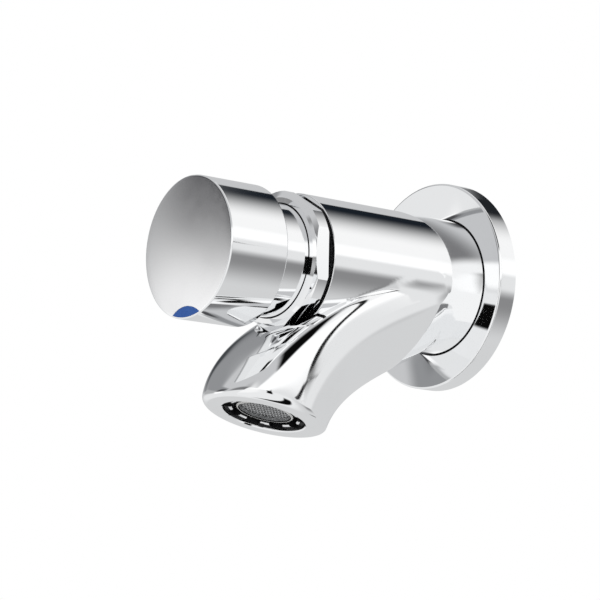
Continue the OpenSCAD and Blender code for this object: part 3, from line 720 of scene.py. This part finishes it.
# %% The insert
INSERT_R, CUP_RIM, CUP_LIP, CUP_SHOULDER, CUP_MOUTH = 9.8 * MM, 8.5 * MM, 0.3 * MM, 3.4 * MM, 1.4 * MM
WELL_R, LEDGE, JET_R, JET_END, PIN_R = 7.7 * MM, 3.2 * MM, 7.1 * MM, 7.8 * MM, 0.2 * MM
insert = turned(
    "aerator_cup",
    [(PIN_R, HOUSING_END), (INSERT_R, HOUSING_END), (INSERT_R, CUP_SHOULDER), (CUP_RIM, CUP_SHOULDER)]
    + [(CUP_RIM, CUP_MOUTH + CUP_LIP), (CUP_RIM - CUP_LIP, CUP_MOUTH)]
    + [(WELL_R + CUP_LIP, CUP_MOUTH), (WELL_R, CUP_MOUTH + CUP_LIP)]
    + [(WELL_R, LEDGE), (JET_R, LEDGE), (JET_R, JET_END), (PIN_R, JET_END)],
    steps=128,
    solid=True,
)
at_outlet(smoothed(insert))
print("insert", len(insert.data.polygons), "faces")

# %% The woven screen
SCREEN_R, SCREEN_MIDDLE, MESH_PITCH = 7.6 * MM, 2.85 * MM, 0.95 * MM
WIRE_R, WAVE = 0.15 * MM, 0.9


def woven_wire(offset, number, across):
    """One wire of the screen, as long as the disc is wide at its place."""
    half = math.sqrt((SCREEN_R - WIRE_R) ** 2 - offset**2)
    over = 1 if number % 2 else -1

    def place(turn, along):
        run = half * (2 * along - 1)
        height = over * WIRE_R * WAVE * math.cos(math.pi * run / MESH_PITCH) * (1 if across else -1)
        side = offset + WIRE_R * math.cos(turn)
        level = SCREEN_MIDDLE + height + WIRE_R * math.sin(turn)
        return Vector((run, level, side)) if across else Vector((side, level, run))

    return wrapped("wire", 6, (7, 7), place)


count = int((SCREEN_R - 2 * WIRE_R) / MESH_PITCH)
wires = [
    woven_wire(number * MESH_PITCH, number, across)
    for across in (True, False)
    for number in range(-count, count + 1)
]
screen = joined(wires)
screen.name = screen.data.name = "woven_screen"
screen.data.transform(Matrix.Rotation(math.pi / 4, 4, "Y"))
at_outlet(smoothed(screen, 60))
print("screen", len(wires), "wires,", len(screen.data.polygons), "faces")

# %% [markdown]
# ## The return spring
# Inside the body a steel spring pushes the plunger back. A curve with a round bevel could follow
# the helix, but the wrapping tool is there already, and its ends are closed. The end turns lie
# close together. The wire can't follow the button as a stiff piece would, so the coil rides on the tap
# and stays as it is.

# %% The coil
WIRE, COIL_R, COIL_TURNS, CLOSED_RISE = 1.3 * MM, 8.3 * MM, 8, 1.8 * MM
COIL_BACK, COIL_FRONT = -34.75 * MM, -60.75 * MM


def coil_place(turn, along):
    """A point of the wire. The first and the last turn rise less than the rest."""
    turns = COIL_TURNS * along
    length = COIL_BACK - COIL_FRONT
    open_rise = (length - 2 * CLOSED_RISE) / (COIL_TURNS - 2)
    climb = CLOSED_RISE * min(turns, 1) + open_rise * min(max(turns - 1, 0), COIL_TURNS - 2)
    climb += CLOSED_RISE * max(turns - COIL_TURNS + 1, 0)
    angle = 2 * math.pi * turns
    out = Vector((math.cos(angle), 0, math.sin(angle)))
    centre = COIL_R * out + Vector((0, COIL_BACK - climb, 0))
    return centre + WIRE / 2 * (math.cos(turn) * out + math.sin(turn) * Vector((0, 1, 0)))


coil = smoothed(wrapped("coil_spring", 12, (15, 15), coil_place), 60)
print("spring", len(coil.data.polygons), "faces")

# %% [markdown]
# ## Which piece stands for which
# Every new piece names the CAD node that it stands for and the body that it rides on, and takes
# the record's material slot. The plunger's pieces move with the button, the rest stays on the wall.

# %% Riding on the bodies
slots = {part["node"]: part["material_slot"] for part in frame["record"]["subparts"]}


def stands_for(piece, node, body):
    """A new piece takes the place of a CAD node and rides on its body."""
    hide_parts(node)
    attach(piece, body)


NEW_PIECES = (
    (flange, "wall_flange", "tap"),
    (body, "tap_body", "tap"),
    (head, "head_collar", "tap"),
    (washer, "collar_gasket", "tap"),
    (nipple, "inlet_nipple", "tap"),
    (housing, "aerator_housing", "tap"),
    (insert, "aerator_insert", "tap"),
    (screen, "aerator_screen", "tap"),
    (coil, "return_spring", "tap"),
    (button, "push_button", "plunger"),
    (mark, "cold_mark", "plunger"),
)
for piece, node, rides_on in NEW_PIECES:
    stands_for(piece, node, rides_on)
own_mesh(coil)
print("new pieces:", len(NEW_PIECES))

# %% [markdown]
# ## Finishes
# A finish is a small network of nodes. Effects that several finishes share are node groups, built
# once here: marks left by hands and water, the fine rings of a lathe, the lines of a brush and the
# grain of a mould. A group gives out numbers that vary over the surface. The shader itself and
# every number that is the same all over stay in the material.
# Patterns follow Object coordinates, in metres, so a scale of 100 gives features about 10 mm wide.

# %% Placing nodes


def add_node(tree, kind, settings=None, **inputs):
    """Adds a node with its settings, and feeds its inputs with numbers or with outputs."""
    node = tree.nodes.new(kind)
    for key, value in (settings or {}).items():
        setattr(node, key, value)
    for key, value in inputs.items():
        socket = node.inputs[int(key[1:])] if key[0] == "_" else node.inputs[key.replace("_", " ")]
        if isinstance(value, bpy.types.NodeSocket):
            tree.links.new(value, socket)
        else:
            socket.default_value = value
    return node


def calculate(tree, operation, *values):
    """One Math node, fed by numbers or by outputs."""
    inputs = {f"_{place}": value for place, value in enumerate(values)}
    return add_node(tree, "ShaderNodeMath", {"operation": operation}, **inputs).outputs[0]


def rise(tree, value, low, high, start=0.0, end=1.0):
    """Goes smoothly from start to end while the value goes from low to high."""
    settings = {"interpolation_type": "SMOOTHSTEP"}
    inputs = {"Value": value, "From_Min": low, "From_Max": high, "To_Min": start, "To_Max": end}
    return add_node(tree, "ShaderNodeMapRange", settings, **inputs).outputs["Result"]


def blend_colours(tree, mask, under, over):
    """Lays one colour over another where the mask says."""
    inputs = {"_0": mask, "_6": under, "_7": over}
    return add_node(tree, "ShaderNodeMix", {"data_type": "RGBA"}, **inputs).outputs[2]


def noise(tree, vector, scale, detail=2.0, roughness=0.5):
    """Smooth noise between 0 and 1."""
    inputs = {"Vector": vector, "Scale": scale, "Detail": detail, "Roughness": roughness}
    return add_node(tree, "ShaderNodeTexNoise", **inputs).outputs[0]


def stretched(tree, scale, turn=(0, 0, 0)):
    """The piece's own coordinates, scaled differently along each axis."""
    place = add_node(tree, "ShaderNodeTexCoord").outputs["Object"]
    return add_node(tree, "ShaderNodeMapping", Vector=place, Rotation=turn, Scale=scale).outputs[0]


def new_group(name, inputs, outputs):
    """An empty node group with named numbers going in and coming out."""
    group = bpy.data.node_groups.new(name, "ShaderNodeTree")
    sockets, number = group.interface, "NodeSocketFloat"
    for socket, value in inputs.items():
        sockets.new_socket(socket, in_out="INPUT", socket_type=number).default_value = value
    for socket in outputs:
        sockets.new_socket(socket, in_out="OUTPUT", socket_type=number)
    given = group.nodes.new("NodeGroupInput").outputs
    result = group.nodes.new("NodeGroupOutput").inputs
    return group, given, result


# %% Marks left by hands and water
marks, given, result = new_group(
    "handling_marks", {"Smudges": 0.05, "Drops": 0.1, "Drop Size": 170.0}, ("Roughness", "Film")
)
plain = stretched(marks, (1, 1, 1))
touched = rise(marks, noise(marks, plain, 38, 3), 0.48, 0.72)
streaky = noise(marks, stretched(marks, (420, 60, 420), (0.2, 0.5, 0.1)), 1, 2)
film = calculate(marks, "MULTIPLY", touched, rise(marks, streaky, 0.3, 0.7, 0.5, 1))
cells = add_node(marks, "ShaderNodeTexVoronoi", Vector=plain, Scale=given["Drop Size"], Randomness=1.0)
chance = add_node(marks, "ShaderNodeSeparateColor", Color=cells.outputs["Color"]).outputs[0]
dried = rise(marks, chance, 0.72, 0.76)
rim = calculate(
    marks, "MULTIPLY",
    rise(marks, cells.outputs["Distance"], 0.22, 0.27),
    rise(marks, cells.outputs["Distance"], 0.27, 0.33, 1, 0),
)
drops = calculate(marks, "MULTIPLY", rim, dried)
rough = calculate(
    marks, "ADD", calculate(marks, "MULTIPLY", film, given["Smudges"]),
    calculate(marks, "MULTIPLY", drops, given["Drops"]),
)
marks.links.new(rough, result["Roughness"])
marks.links.new(calculate(marks, "MULTIPLY", film, 0.6), result["Film"])
print("marks:", len(marks.nodes), "nodes")

# %% Rings of the lathe
rings, given, result = new_group("lathe_rings", {"Per Metre": 4000.0}, ("Height",))
place = add_node(rings, "ShaderNodeSeparateXYZ", _0=stretched(rings, (1, 1, 1)))
x, y, z = place.outputs
square = calculate(rings, "ADD", calculate(rings, "MULTIPLY", x, x), calculate(rings, "MULTIPLY", z, z))
section = add_node(rings, "ShaderNodeCombineXYZ", X=calculate(rings, "SQRT", square), Y=y)
rings.links.new(noise(rings, section.outputs[0], given["Per Metre"], 1), result["Height"])
print("rings:", len(rings.nodes), "nodes")

# %% Lines of a brush, all one way
brush, given, result = new_group("brush_lines", {"Fineness": 1.0}, ("Height",))
lines = noise(brush, stretched(brush, (90, 2600, 2600), (0, 0.6, 0)), given["Fineness"], 3, 0.7)
brush.links.new(lines, result["Height"])

# %% Grain of a mould, with dust in the low places
grain, given, result = new_group("moulded_grain", {"Scale": 1500.0}, ("Height", "Dust"))
plain = stretched(grain, (1, 1, 1))
grain.links.new(noise(grain, plain, given["Scale"], 3, 0.6), result["Height"])
grain.links.new(rise(grain, noise(grain, plain, 140, 3), 0.5, 0.8), result["Dust"])
print("groups:", [group.name for group in (marks, rings, brush, grain)])

# %% [markdown]
# ## One material for each finish
# Chrome plate is a mirror, so almost everything that it shows is the studio. What makes it look
# real is small: a film left by fingers makes it duller in places, and dried drops leave faint
# rings. The inner parts are duller: turned brass with its tool marks, drawn wire, moulded plastic
# and rubber. `start_finish` sets the plain numbers, and each finish then adds what varies.

# %% A shader to start from


def start_finish(name, metallic, **numbers):
    """A material with a Principled shader, its plain numbers set on the shader's own sockets."""
    material = bpy.data.materials.new(name)
    material.use_nodes = True
    shader = material.node_tree.nodes["Principled BSDF"]
    shader.inputs["Metallic"].default_value = metallic
    for key, value in numbers.items():
        shader.inputs[key.replace("_", " ")].default_value = value
    return material, material.node_tree, shader


def use_group(tree, group, **numbers):
    """Places a shared effect in a material with this material's own values."""
    return add_node(tree, "ShaderNodeGroup", {"node_tree": group}, **numbers).outputs


def dress(tree, shader, colour, roughness, height, depth, strength=0.3):
    """Joins a finish's colour, roughness and height to its shader. Depth is in metres."""
    bump = add_node(tree, "ShaderNodeBump", Height=height, Distance=depth, Strength=strength)
    tree.links.new(colour, shader.inputs["Base Color"])
    tree.links.new(roughness, shader.inputs["Roughness"])
    tree.links.new(bump.outputs[0], shader.inputs["Normal"])


# %% Chrome plate, polished and satin
MICRON = 1e-6


def chrome_finish(name, colour, dulled, roughness, smudges, drops, lines, depth):
    """Chrome: a mirror or a satin face, with marks, and lines left from before it was plated."""
    material, tree, shader = start_finish(name, 1.0)
    left = use_group(tree, marks, Smudges=smudges, Drops=drops)
    height = use_group(tree, lines)["Height"]
    tint = blend_colours(tree, left["Film"], (*colour, 1), (*dulled, 1))
    rough = calculate(tree, "ADD", left["Roughness"], roughness)
    dress(tree, shader, tint, rough, height, depth)
    return material


polished_chrome = chrome_finish(
    "polished_chrome", (0.97, 0.975, 0.98), (0.94, 0.945, 0.95), 0.035, 0.05, 0.04, rings, 0.3 * MICRON
)
satin_chrome = chrome_finish(
    "satin_chrome", (0.92, 0.92, 0.925), (0.89, 0.89, 0.895), 0.17, 0.04, 0.0, brush, 3 * MICRON
)
ring_chrome = chrome_finish(
    "ring_chrome", (0.90, 0.905, 0.91), (0.82, 0.82, 0.81), 0.10, 0.10, 0.20, rings, 2 * MICRON
)
print("chrome:", [finish.name for finish in (polished_chrome, satin_chrome, ring_chrome)])

# %% Brass, steel, plastic, rubber and enamel


def metal_finish(name, colour, tarnished, roughness, lines, depth):
    """A bare metal that has dulled in places, with the lines of its making."""
    material, tree, shader = start_finish(name, 1.0)
    height = use_group(tree, lines)["Height"]
    worn = use_group(tree, grain, Scale=900.0)
    tint = blend_colours(tree, worn["Dust"], (*colour, 1), (*tarnished, 1))
    rough = calculate(tree, "ADD", calculate(tree, "MULTIPLY", worn["Dust"], 0.15), roughness)
    dress(tree, shader, tint, rough, height, depth)
    return material


def moulded_finish(name, colour, dusty, roughness, scale, depth, **numbers):
    """A moulded plastic or rubber: a fine grain, with dust or bloom in patches."""
    material, tree, shader = start_finish(name, 0.0, **numbers)
    skin = use_group(tree, grain, Scale=scale)
    tint = blend_colours(tree, skin["Dust"], (*colour, 1), (*dusty, 1))
    rough = calculate(tree, "ADD", calculate(tree, "MULTIPLY", skin["Height"], 0.2), roughness)
    dress(tree, shader, tint, rough, skin["Height"], depth)
    return material


turned_brass = metal_finish(
    "turned_brass", (0.80, 0.60, 0.30), (0.55, 0.40, 0.20), 0.20, rings, 12 * MICRON
)
drawn_steel = metal_finish(
    "drawn_steel", (0.66, 0.67, 0.69), (0.46, 0.46, 0.47), 0.24, brush, 6 * MICRON
)
mesh_steel = metal_finish(
    "mesh_steel", (0.60, 0.605, 0.61), (0.52, 0.51, 0.48), 0.3, brush, 4 * MICRON
)
# The black finish is the washer's real rubber, and it is also laid on faces as painted shade where
# gaps, grooves and notches should look dark.
black_rubber_and_painted_shade = moulded_finish(
    "black_rubber_and_painted_shade", (0.008, 0.008, 0.009), (0.02, 0.02, 0.021),
    0.5, 1500.0, 30 * MICRON, Specular_IOR_Level=0.15,
)
sponge_rubber = moulded_finish(
    "sponge_rubber", (0.02, 0.02, 0.021), (0.08, 0.08, 0.08),
    0.75, 700.0, 250 * MICRON, Specular_IOR_Level=0.3,
)
pale_acetal = moulded_finish(
    "pale_acetal", (0.80, 0.80, 0.77), (0.68, 0.67, 0.63), 0.32, 1200.0, 15 * MICRON
)
grey_plastic = moulded_finish(
    "grey_plastic", (0.66, 0.66, 0.65), (0.52, 0.51, 0.48), 0.30, 1200.0, 15 * MICRON
)
blue_enamel = moulded_finish(
    "blue_enamel", (0.025, 0.105, 0.40), (0.03, 0.12, 0.42),
    0.25, 900.0, 10 * MICRON, Specular_IOR_Level=0.25,
)
print("blue enamel:", len(blue_enamel.node_tree.nodes), "nodes")

# %% [markdown]
# ## Handing out the finishes
# The record says which slot each node belongs to, so one table from slot to material dresses all
# of them, the new pieces and the CAD nodes alike. Some pieces have more than one finish, and a mask
# in the material could tell them apart. Here each face gets its own by its place, which leaves a
# clean edge. The button's crowned face is satin, its bevel and its side are polished. The black
# finish is painted shade in four places: the seat of the flange, drawn as a seal, shows as a black
# line round the body where the gap is; the groove round the neck is black; the notched ring is black
# inside; and the insert is black inside and round its rim, drawn as the seal between insert and ring.
# The insert's well has the colour of the screen.

# %% Finishes by slot
FINISHES = {
    "chrome": polished_chrome,
    "button_chrome": polished_chrome,
    "aerator_metal": ring_chrome,
    "brass": turned_brass,
    "spring_steel": drawn_steel,
    "steel_mesh": mesh_steel,
    "rubber": black_rubber_and_painted_shade,
    "foam_rubber": sponge_rubber,
    "pale_plastic": pale_acetal,
    "aerator_plastic": grey_plastic,
    "blue_enamel": blue_enamel,
}


def wear(piece, *materials):
    """Gives a piece these materials and nothing else."""
    piece.data.materials.clear()
    for material in materials:
        piece.data.materials.append(material)


new_nodes = [node for _, node, _ in NEW_PIECES]
for piece, node, _ in NEW_PIECES:
    wear(piece, FINISHES[slots[node]])
for node, slot in slots.items():
    if node not in new_nodes:
        for material_slot in frame["nodes"][node].material_slots:
            material_slot.material = FINISHES[slot]
print("dressed:", len(slots), "nodes")

# %% Pieces with more than one finish
SATIN_R, HAIR = 20.45 * MM, 0.1 * MM


def off_axis(face):
    """How far a face is from the tap's axis."""
    return math.hypot(face.center.x, face.center.z)


def in_outlet(face):
    """How far a face is from the outlet's middle line, and how deep it lies in the outlet."""
    way = face.center - OUTLET
    depth = way.dot(OUTLET_UP)
    return (way - depth * OUTLET_UP).length, depth


# Painted shade: the flange's seat faces inside the body's radius get the black finish, drawn as a flat
# seal, so the gap round the body shows as a dark line.
wear(flange, polished_chrome, black_rubber_and_painted_shade)
for face in flange.data.polygons:
    if face.normal.y < -0.9 and off_axis(face) < BODY_R:
        face.material_index = 1
# Painted shade: the groove round the neck gets the black finish, so it reads as dark as a shadowed
# groove.
wear(head, polished_chrome, black_rubber_and_painted_shade)
for face in head.data.polygons:
    in_groove = COLLAR_FRONT + GROOVE / 10 < face.center.y < COLLAR_FRONT + 1.1 * GROOVE
    if in_groove and NECK_R - HAIR < off_axis(face) < NECK_R + 1.1 * GROOVE:
        face.material_index = 1
# Painted shade: the notches and the ring's deep inside get the black finish, so they look as dark as
# shadowed notches.
wear(housing, ring_chrome, black_rubber_and_painted_shade)
for face in housing.data.polygons:
    radius, depth = in_outlet(face)
    if radius > TOOTH_R or depth > HOUSING_MOUTH + NOTCH_DEPTH - LIP:
        face.material_index = 1
# Painted shade: the insert's back, its outer step and the lip of its well get the black finish, drawn
# as the seal between insert and ring, so the groove round the screen looks dark.
wear(insert, grey_plastic, black_rubber_and_painted_shade, mesh_steel)
for face in insert.data.polygons:
    radius, depth = in_outlet(face)
    if depth > CUP_SHOULDER - HAIR or radius > CUP_RIM - HAIR / 10 or radius < WELL_R + CUP_LIP:
        face.material_index = 1
    if radius < WELL_R + HAIR / 2 and depth < CUP_SHOULDER:
        face.material_index = 2
wear(button, polished_chrome, satin_chrome)
for face in button.data.polygons:
    in_front = face.normal.y < -0.98 and face.center.y < BUTTON_FRONT + 2 * CROWN
    if in_front and off_axis(face) < SATIN_R:
        face.material_index = 1
satin_faces = sum(face.material_index for face in button.data.polygons)
print("satin faces of the button:", satin_faces)

# %% [markdown]
# ## The studio
# A mirror finish shows the room, so the room is designed. Product photographers put chrome in a
# tent of white paper and hang black cards in it: the cards draw the dark lines that give the metal
# its shape. The cards could be real planes, but then each would also shade the tap. So the tent
# here is the world's light, and each card is a patch of directions, told in two angles that suit a
# tap: round its axis (0 is right, 90 is up) and away from the wall. A card can lean, which shifts
# its second pair of edges along the first angle. Two cards are seen only by the first reflection,
# and two only where one part of the tap mirrors another, which Light Path's Glossy Depth tells.

# %% The tent's cards
TENT = (0.56, 0.565, 0.575)
TABLE, TABLE_FRONT, BLACK = (0.645, 0.65, 0.655), (0.84, 0.845, 0.85), (0.003, 0.003, 0.003)
CARDS = (
    # each edge has an angle and a softness, in degrees
    # name, round the axis from and to, from the wall from and to, lean, colour
    ("table_rear", (-130, 1), (1, 5), (-9, 1), (190, 1), 0, TABLE),
    ("table_rear_left", (178, 5), (250, 1), (-9, 1), (190, 1), 0, TABLE),
    ("table_front", (-130, 1), (1, 5), (75, 10), (190, 1), 0, TABLE_FRONT),
    ("table_front_left", (178, 6), (250, 1), (75, 10), (190, 1), 0, (0.80, 0.805, 0.81)),
    ("front_box", (-130, 1), (80, 12), (150, 8), (190, 1), 0, (0.95, 0.95, 0.95)),
    ("front_dark", (70, 12), (170, 12), (150, 8), (190, 1), 0, (0.2, 0.2, 0.205)),
    ("right_box", (4, 6), (36, 5), (38, 6), (170, 8), 0, (1.05, 1.05, 1.05)),
    ("box_side", (-5, 4), (13, 3), (38, 4), (54.5, 0.8), 0, (0.79, 0.795, 0.80)),
    ("rear_box", (31, 5), (116, 2), (38, 6), (79, 3), 0, (0.95, 0.95, 0.95)),
    ("box_frame", (6, 1.5), (80, 2), (53.7, 0.25), (55.3, 0.25), 0.4, BLACK),
    ("frame_foot", (3.2, 0.5), (6.2, 0.15), (65.6, 0.5), (69.8, 0.6), -4.2, BLACK),
    ("table_edge", (-112, 6), (-26, 8), (86, 2), (100, 2), 0, BLACK),
    ("rear_flag", (77, 27), (116.5, 1.5), (20, 10), (58, 5), 0, (0.01, 0.014, 0.02)),
    ("rim_flag", (86, 8), (150, 4), (38, 3), (48.9, 0.6), 0, (0.015, 0.017, 0.02)),
    ("top_flag", (35, 3), (73, 8), (82.5, 2.5), (119, 5), 0, BLACK),
    ("left_grey", (140.5, 2.5), (168, 5), (62, 4), (136, 8), 0, (0.28, 0.285, 0.295)),
    ("left_pale", (158, 3), (174, 4), (84, 3), (118, 4), 0, (0.42, 0.425, 0.43)),
    ("left_flag", (148, 4), (162, 4), (66, 3), (79, 3), 0, (0.055, 0.06, 0.065)),
    ("face_light", (160, 4), (186, 4), (120, 4), (138, 4), 0, (1.05, 1.05, 1.05)),
    ("face_flag", (148, 4), (167, 4), (120, 4), (140, 5), 0, (0.07, 0.07, 0.075)),
    ("low_grey", (-42, 22), (-9, 6), (43, 4), (60, 6), 0, (0.25, 0.25, 0.255)),
    ("low_line", (-92, 1.2), (-85.5, 1.2), (49.5, 0.5), (60, 3), 0, BLACK),
    ("camera", (-30, 2), (6, 2), (122, 2), (134, 2), 0, BLACK),
    ("later_front", (4, 4), (40, 4), (132, 3), (158, 4), 0, BLACK),
    ("root_flag", (-62, 3), (-24, 3), (90, 3), (108, 3), 0, BLACK),
)
SEAM = -120
FIRST_ONLY, LATER_ONLY = ("top_flag", "table_edge"), ("later_front", "root_flag")

world = bpy.data.worlds.new("Studio")
bpy.context.scene.world = world
world.use_nodes = True
tent = world.node_tree
tent.nodes.clear()
way = add_node(tent, "ShaderNodeTexCoord").outputs["Generated"]
x, y, z = add_node(tent, "ShaderNodeSeparateXYZ", _0=way).outputs
round_axis = calculate(tent, "DEGREES", calculate(tent, "ARCTAN2", z, x))
round_axis = calculate(tent, "WRAP", round_axis, SEAM + 360, SEAM)
from_wall = calculate(tent, "DEGREES", calculate(tent, "ARCCOSINE", y))
rays = add_node(tent, "ShaderNodeLightPath").outputs
once = calculate(tent, "LESS_THAN", rays["Glossy Depth"], 1.5)
later = calculate(tent, "SUBTRACT", 1.0, once)
light = (*TENT, 1)
for name, turn_from, turn_to, tilt_from, tilt_to, lean, shade in CARDS:
    mask = once if name in FIRST_ONLY else later if name in LATER_ONLY else 1.0
    past_edge = calculate(tent, "SUBTRACT", round_axis, turn_from[0])
    tilt = calculate(tent, "SUBTRACT", from_wall, calculate(tent, "MULTIPLY", past_edge, lean))
    for angle, (low, low_soft), (high, high_soft) in (
        (round_axis, turn_from, turn_to), (tilt, tilt_from, tilt_to)
    ):
        begun = rise(tent, angle, low - low_soft, low + low_soft)
        ended = rise(tent, angle, high - high_soft, high + high_soft, 1, 0)
        mask = calculate(tent, "MULTIPLY", calculate(tent, "MULTIPLY", mask, begun), ended)
    light = blend_colours(tent, mask, light, (*shade, 1))
print("cards:", len(CARDS))

# %% [markdown]
# The camera sees a plain white background where the chrome sees the tent, which Light Path
# separates. The floor is a large sheet of pale paper below the tap. It takes no part in the
# reflections, because the tent already has a table, and a soft lamp above lights it evenly.

# %% Background, floor and lamp
WHITE = (1, 1, 1, 1)
shown = blend_colours(tent, rays["Is Camera Ray"], light, WHITE)
background = add_node(tent, "ShaderNodeBackground", Color=shown)
add_node(tent, "ShaderNodeOutputWorld", Surface=background.outputs[0])
bpy.context.scene.view_settings.view_transform = "Standard"

FLOOR_LEVEL, FLOOR_R = -0.25, 4
bpy.ops.object.select_all(action="DESELECT")
bpy.ops.mesh.primitive_circle_add(
    vertices=128, radius=FLOOR_R, fill_type="NGON", location=(0, 0, FLOOR_LEVEL)
)
floor = settle(bpy.context.object, "floor")
floor.visible_glossy = False
paper, paper_tree, paper_shader = start_finish("paper", 0.0, Roughness=0.9)
fibres = use_group(paper_tree, grain, Scale=300.0)
paper_tone = blend_colours(paper_tree, fibres["Dust"], (0.90, 0.90, 0.89, 1), (0.88, 0.88, 0.87, 1))
paper_tree.links.new(paper_tone, paper_shader.inputs["Base Color"])
wear(floor, paper)

lamp_data = bpy.data.lights.new("lamp", "AREA")
lamp_data.energy, lamp_data.size = 28, 2.2
lamp = bpy.data.objects.new("lamp", lamp_data)
bpy.context.scene.collection.objects.link(lamp)
lamp.location = (0.3, -0.5, 1.9)
lamp.visible_glossy = False
print("lamp at", list(lamp.location), "floor at", FLOOR_LEVEL)
